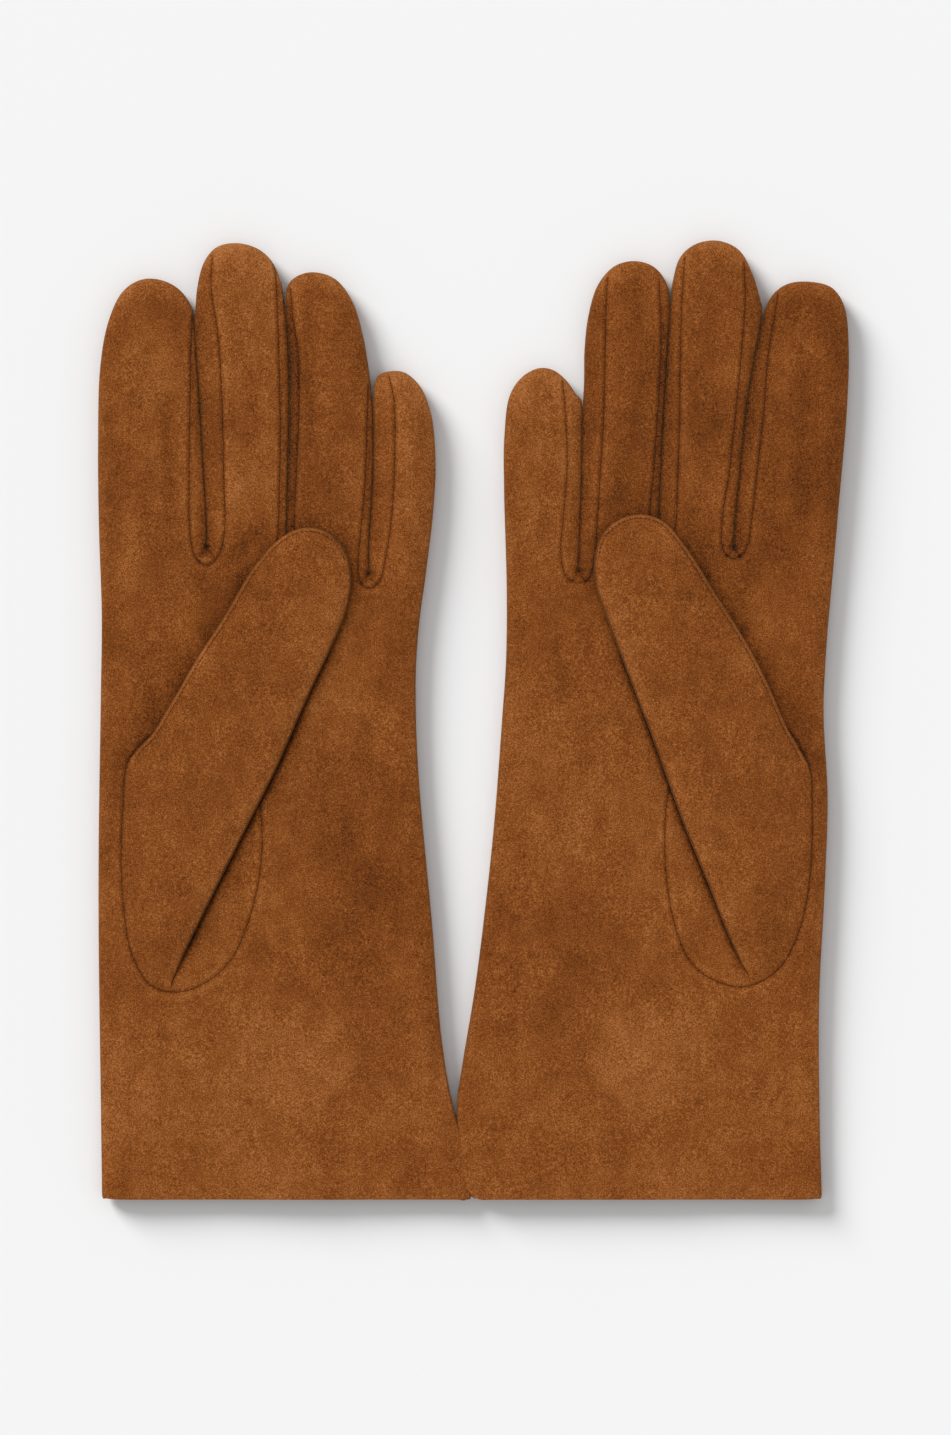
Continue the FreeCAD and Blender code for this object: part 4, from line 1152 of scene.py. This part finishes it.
class Thumb:
    """The thumb folded over the palm, sewn to the hand along the outer side of the oval."""

    def __init__(self, hand):
        self.hand = hand
        self.side = hand.side
        pattern = hand.pattern
        self.open_edge = spaced(pattern["crease"] + pattern["tip"], STEP)
        apex = np.argmin(np.linalg.norm(hand.oval - self.open_edge[0], axis=1))
        self.sewn = np.vstack([self.open_edge[-1:], hand.oval[1:apex + 1], self.open_edge[:1]])
        self.outline = np.vstack([self.open_edge, self.sewn[1:-1]])
        self.crease_end = len(spaced(pattern["crease"], STEP))
        rim = self.open_edge + RIM_INSET * leftward(self.open_edge)
        self.rim = rim[self.crease_end - RIM_ENDS[0]:-RIM_ENDS[1]]
        self.fill()
        self.raise_sheets()

    def fill(self):
        rows = [(self.open_edge, OUTLINE_ROWS), (self.rim, SEAM_ROWS), (self.sewn, OUTLINE_ROWS)]
        self.flat, self.faces = flat_mesh(self.outline, [(self.rim,)], rows)

    def palm(self):
        """The height of the palm under each point, bridging the gaps between the fingers."""
        hand = self.hand
        spots = np.column_stack([hand.flat, hand.top])
        surface = bvhtree.BVHTree.FromPolygons(spots.tolist(), hand.faces.tolist())
        heights = []
        for x, y in self.flat:
            hit = surface.ray_cast(Vector((x, y, ABOVE)), Vector((0, 0, -1)))[0]
            heights.append(hit.z if hit else 0.0)
        heights = np.array(heights)
        start, dip, passes = THUMB_REST
        heights[(self.flat[:, 1] > start) & (heights < HAND_LEVEL - dip)] = HAND_LEVEL
        free = slope("thumb_bridge", away_from(self.flat, self.sewn))
        return smoothed(heights, self.faces, passes, free)

    def raise_sheets(self):
        """Lays the thumb's two sheets on the palm, closed along their outline."""
        flat = self.flat
        base = self.palm()
        away, nearest = distance(flat, self.open_edge)
        sewn = away_from(flat, self.sewn)
        rim = away_from(flat, self.rim)
        near, tip = THUMB_ROUNDING
        rounding = near + (tip - near) * slope("thumb_rounding", nearest - self.crease_end)
        rise = np.sin(np.clip(sewn / THUMB_SEWN_RISE, 0, 1) * math.pi / 2) ** THUMB_SEWN_POWER
        crown = THUMB_CROWN + (THUMB_TIP_CROWN - THUMB_CROWN) * slope("thumb_crown", flat[:, 1])
        crown += swells("thumb", flat) * slope("thumb_swell", away)
        top = base + rise * (THUMB_EDGE + (crown - THUMB_EDGE) * crowned(away / rounding))
        top += slope("rim_edge", away) * slope("rim_sewn", sewn) * mark("rim_groove", rim)
        under = THUMB_CLEAR + (THUMB_EDGE - THUMB_CLEAR) * (1 - crowned(away / THUMB_UNDER))
        bottom = base + rise * under
        welded = np.minimum(away, sewn) < WELDED
        top = np.where(welded, (top + bottom) / 2, top)
        self.skin = Skin(self.side, flat, self.faces, top, bottom, welded)
        on_fold = nearest < self.crease_end
        # Painted shade along the rim seam, the sewn edge and the open edges, painted highlights just
        # inside the open edges, and the whole thumb painted a little lighter.
        shade = mark("rim_shade", rim) + mark("sewn_shade", sewn)
        shade += np.where(on_fold, mark("fold_shade", away), mark("lip_shade", away))
        lightening = THUMB_LIGHTENING + np.where(on_fold, mark("fold_highlight", away), mark("lip_highlight", away))
        self.skin.paint(shade, lightening, shade, np.zeros(len(flat)))
        share, least = THUMB_THIN
        thick = np.clip(share * (top - bottom) / LEATHER, least, 1)
        thick = np.maximum(thick, slope("thumb_thick", sewn))
        self.thick = np.concatenate([thick, thick[self.skin.own]])

    def finish(self, thing, node, slot):
        """The thumb's pieces span the hand and the thumb, and are only baked in place."""
        finish_piece(thing, node, slot, [self.side + "_hand", self.side + "_thumb"])

    def make_pieces(self):
        every = np.ones(len(self.skin.faces), bool)
        layers = (
            ("_thumb_leather", "suede", "suede", (0.0, LEATHER)),
            ("_thumb_lining", "knit", "lining_knit", KNIT),
        )
        for title, cloth, slot, depths in layers:
            node = self.side + title
            thing = cut(f"{node}_{cloth}", self.skin, every, [depth * self.thick for depth in depths])
            self.finish(thing, node, slot)
        surface = self.skin.surface()
        found = [laid(surface, middle, along, 1) for middle, along in stitch_places(self.rim, False)]
        node = self.side + "_thumb_stitching"
        thing = thread_mesh(node + "_thread", self.side, [stitch for stitch in found if stitch])
        self.finish(thing, node, "seam_thread")


for side in MIRROR:
    hand = Hand(side)
    hand.make_pieces()
    hand.make_stitches()
    Thumb(hand).make_pieces()

# ---- floor, camera and light


def make_floor():
    half, below = 40.0, 0.0003
    mesh = bpy.data.meshes.new("floor")
    corners = [(-half, -half, 0), (half, -half, 0), (half, half, 0), (-half, half, 0)]
    mesh.from_pydata(corners, [], [(0, 1, 2, 3)])
    nodes = Nodes("floor")
    nodes.shade("Base Color", (0.92, 0.92, 0.92, 1))
    nodes.shade("Roughness", 0.9)
    mesh.materials.append(nodes.material)
    floor = new_object("floor", mesh)
    floor.location.z = cad_box[0][2] - below
    return floor


def make_camera():
    lens, sensor = 135.0, 36.0
    frame_height = 0.4233  # what the long side of the frame takes in, at the gloves
    x, y = 0.0009, 0.0007
    level = EDGE_LEVEL * METRE
    data = bpy.data.cameras.new("camera")
    data.lens = lens
    data.sensor_width = sensor
    camera = new_object("camera", data)
    camera.location = (x, y, level + frame_height * lens / sensor)
    bpy.context.scene.camera = camera


def make_sun(name, toward, strength, softness, floor, link):
    """A wide soft lamp far away, that lights only the floor ("INCLUDE") or all else ("EXCLUDE")."""
    data = bpy.data.lights.new(name, "SUN")
    data.energy = strength
    data.angle = math.radians(softness)
    sun = new_object(name, data)
    sun.rotation_euler = Vector(toward).to_track_quat("-Z", "Y").to_euler()
    lit = bpy.data.collections.new(name + "_lights")
    lit.objects.link(floor)
    lit.collection_objects[0].light_linking.link_state = link
    sun.light_linking.receiver_collection = lit


def make_world(strength):
    world = bpy.data.worlds.new("studio")
    world.use_nodes = True
    background = world.node_tree.nodes["Background"]
    background.inputs["Color"].default_value = (1, 1, 1, 1)
    background.inputs["Strength"].default_value = strength
    bpy.context.scene.world = world


bpy.context.scene.view_settings.view_transform = "Standard"
floor = make_floor()
make_camera()
make_world(0.53)
make_sun("floor_sun", (0.60, -0.60, -0.38), strength=3.55, softness=27, floor=floor, link="INCLUDE")
make_sun("glove_sun", (0.35, -0.45, -0.85), strength=1.79, softness=60, floor=floor, link="EXCLUDE")
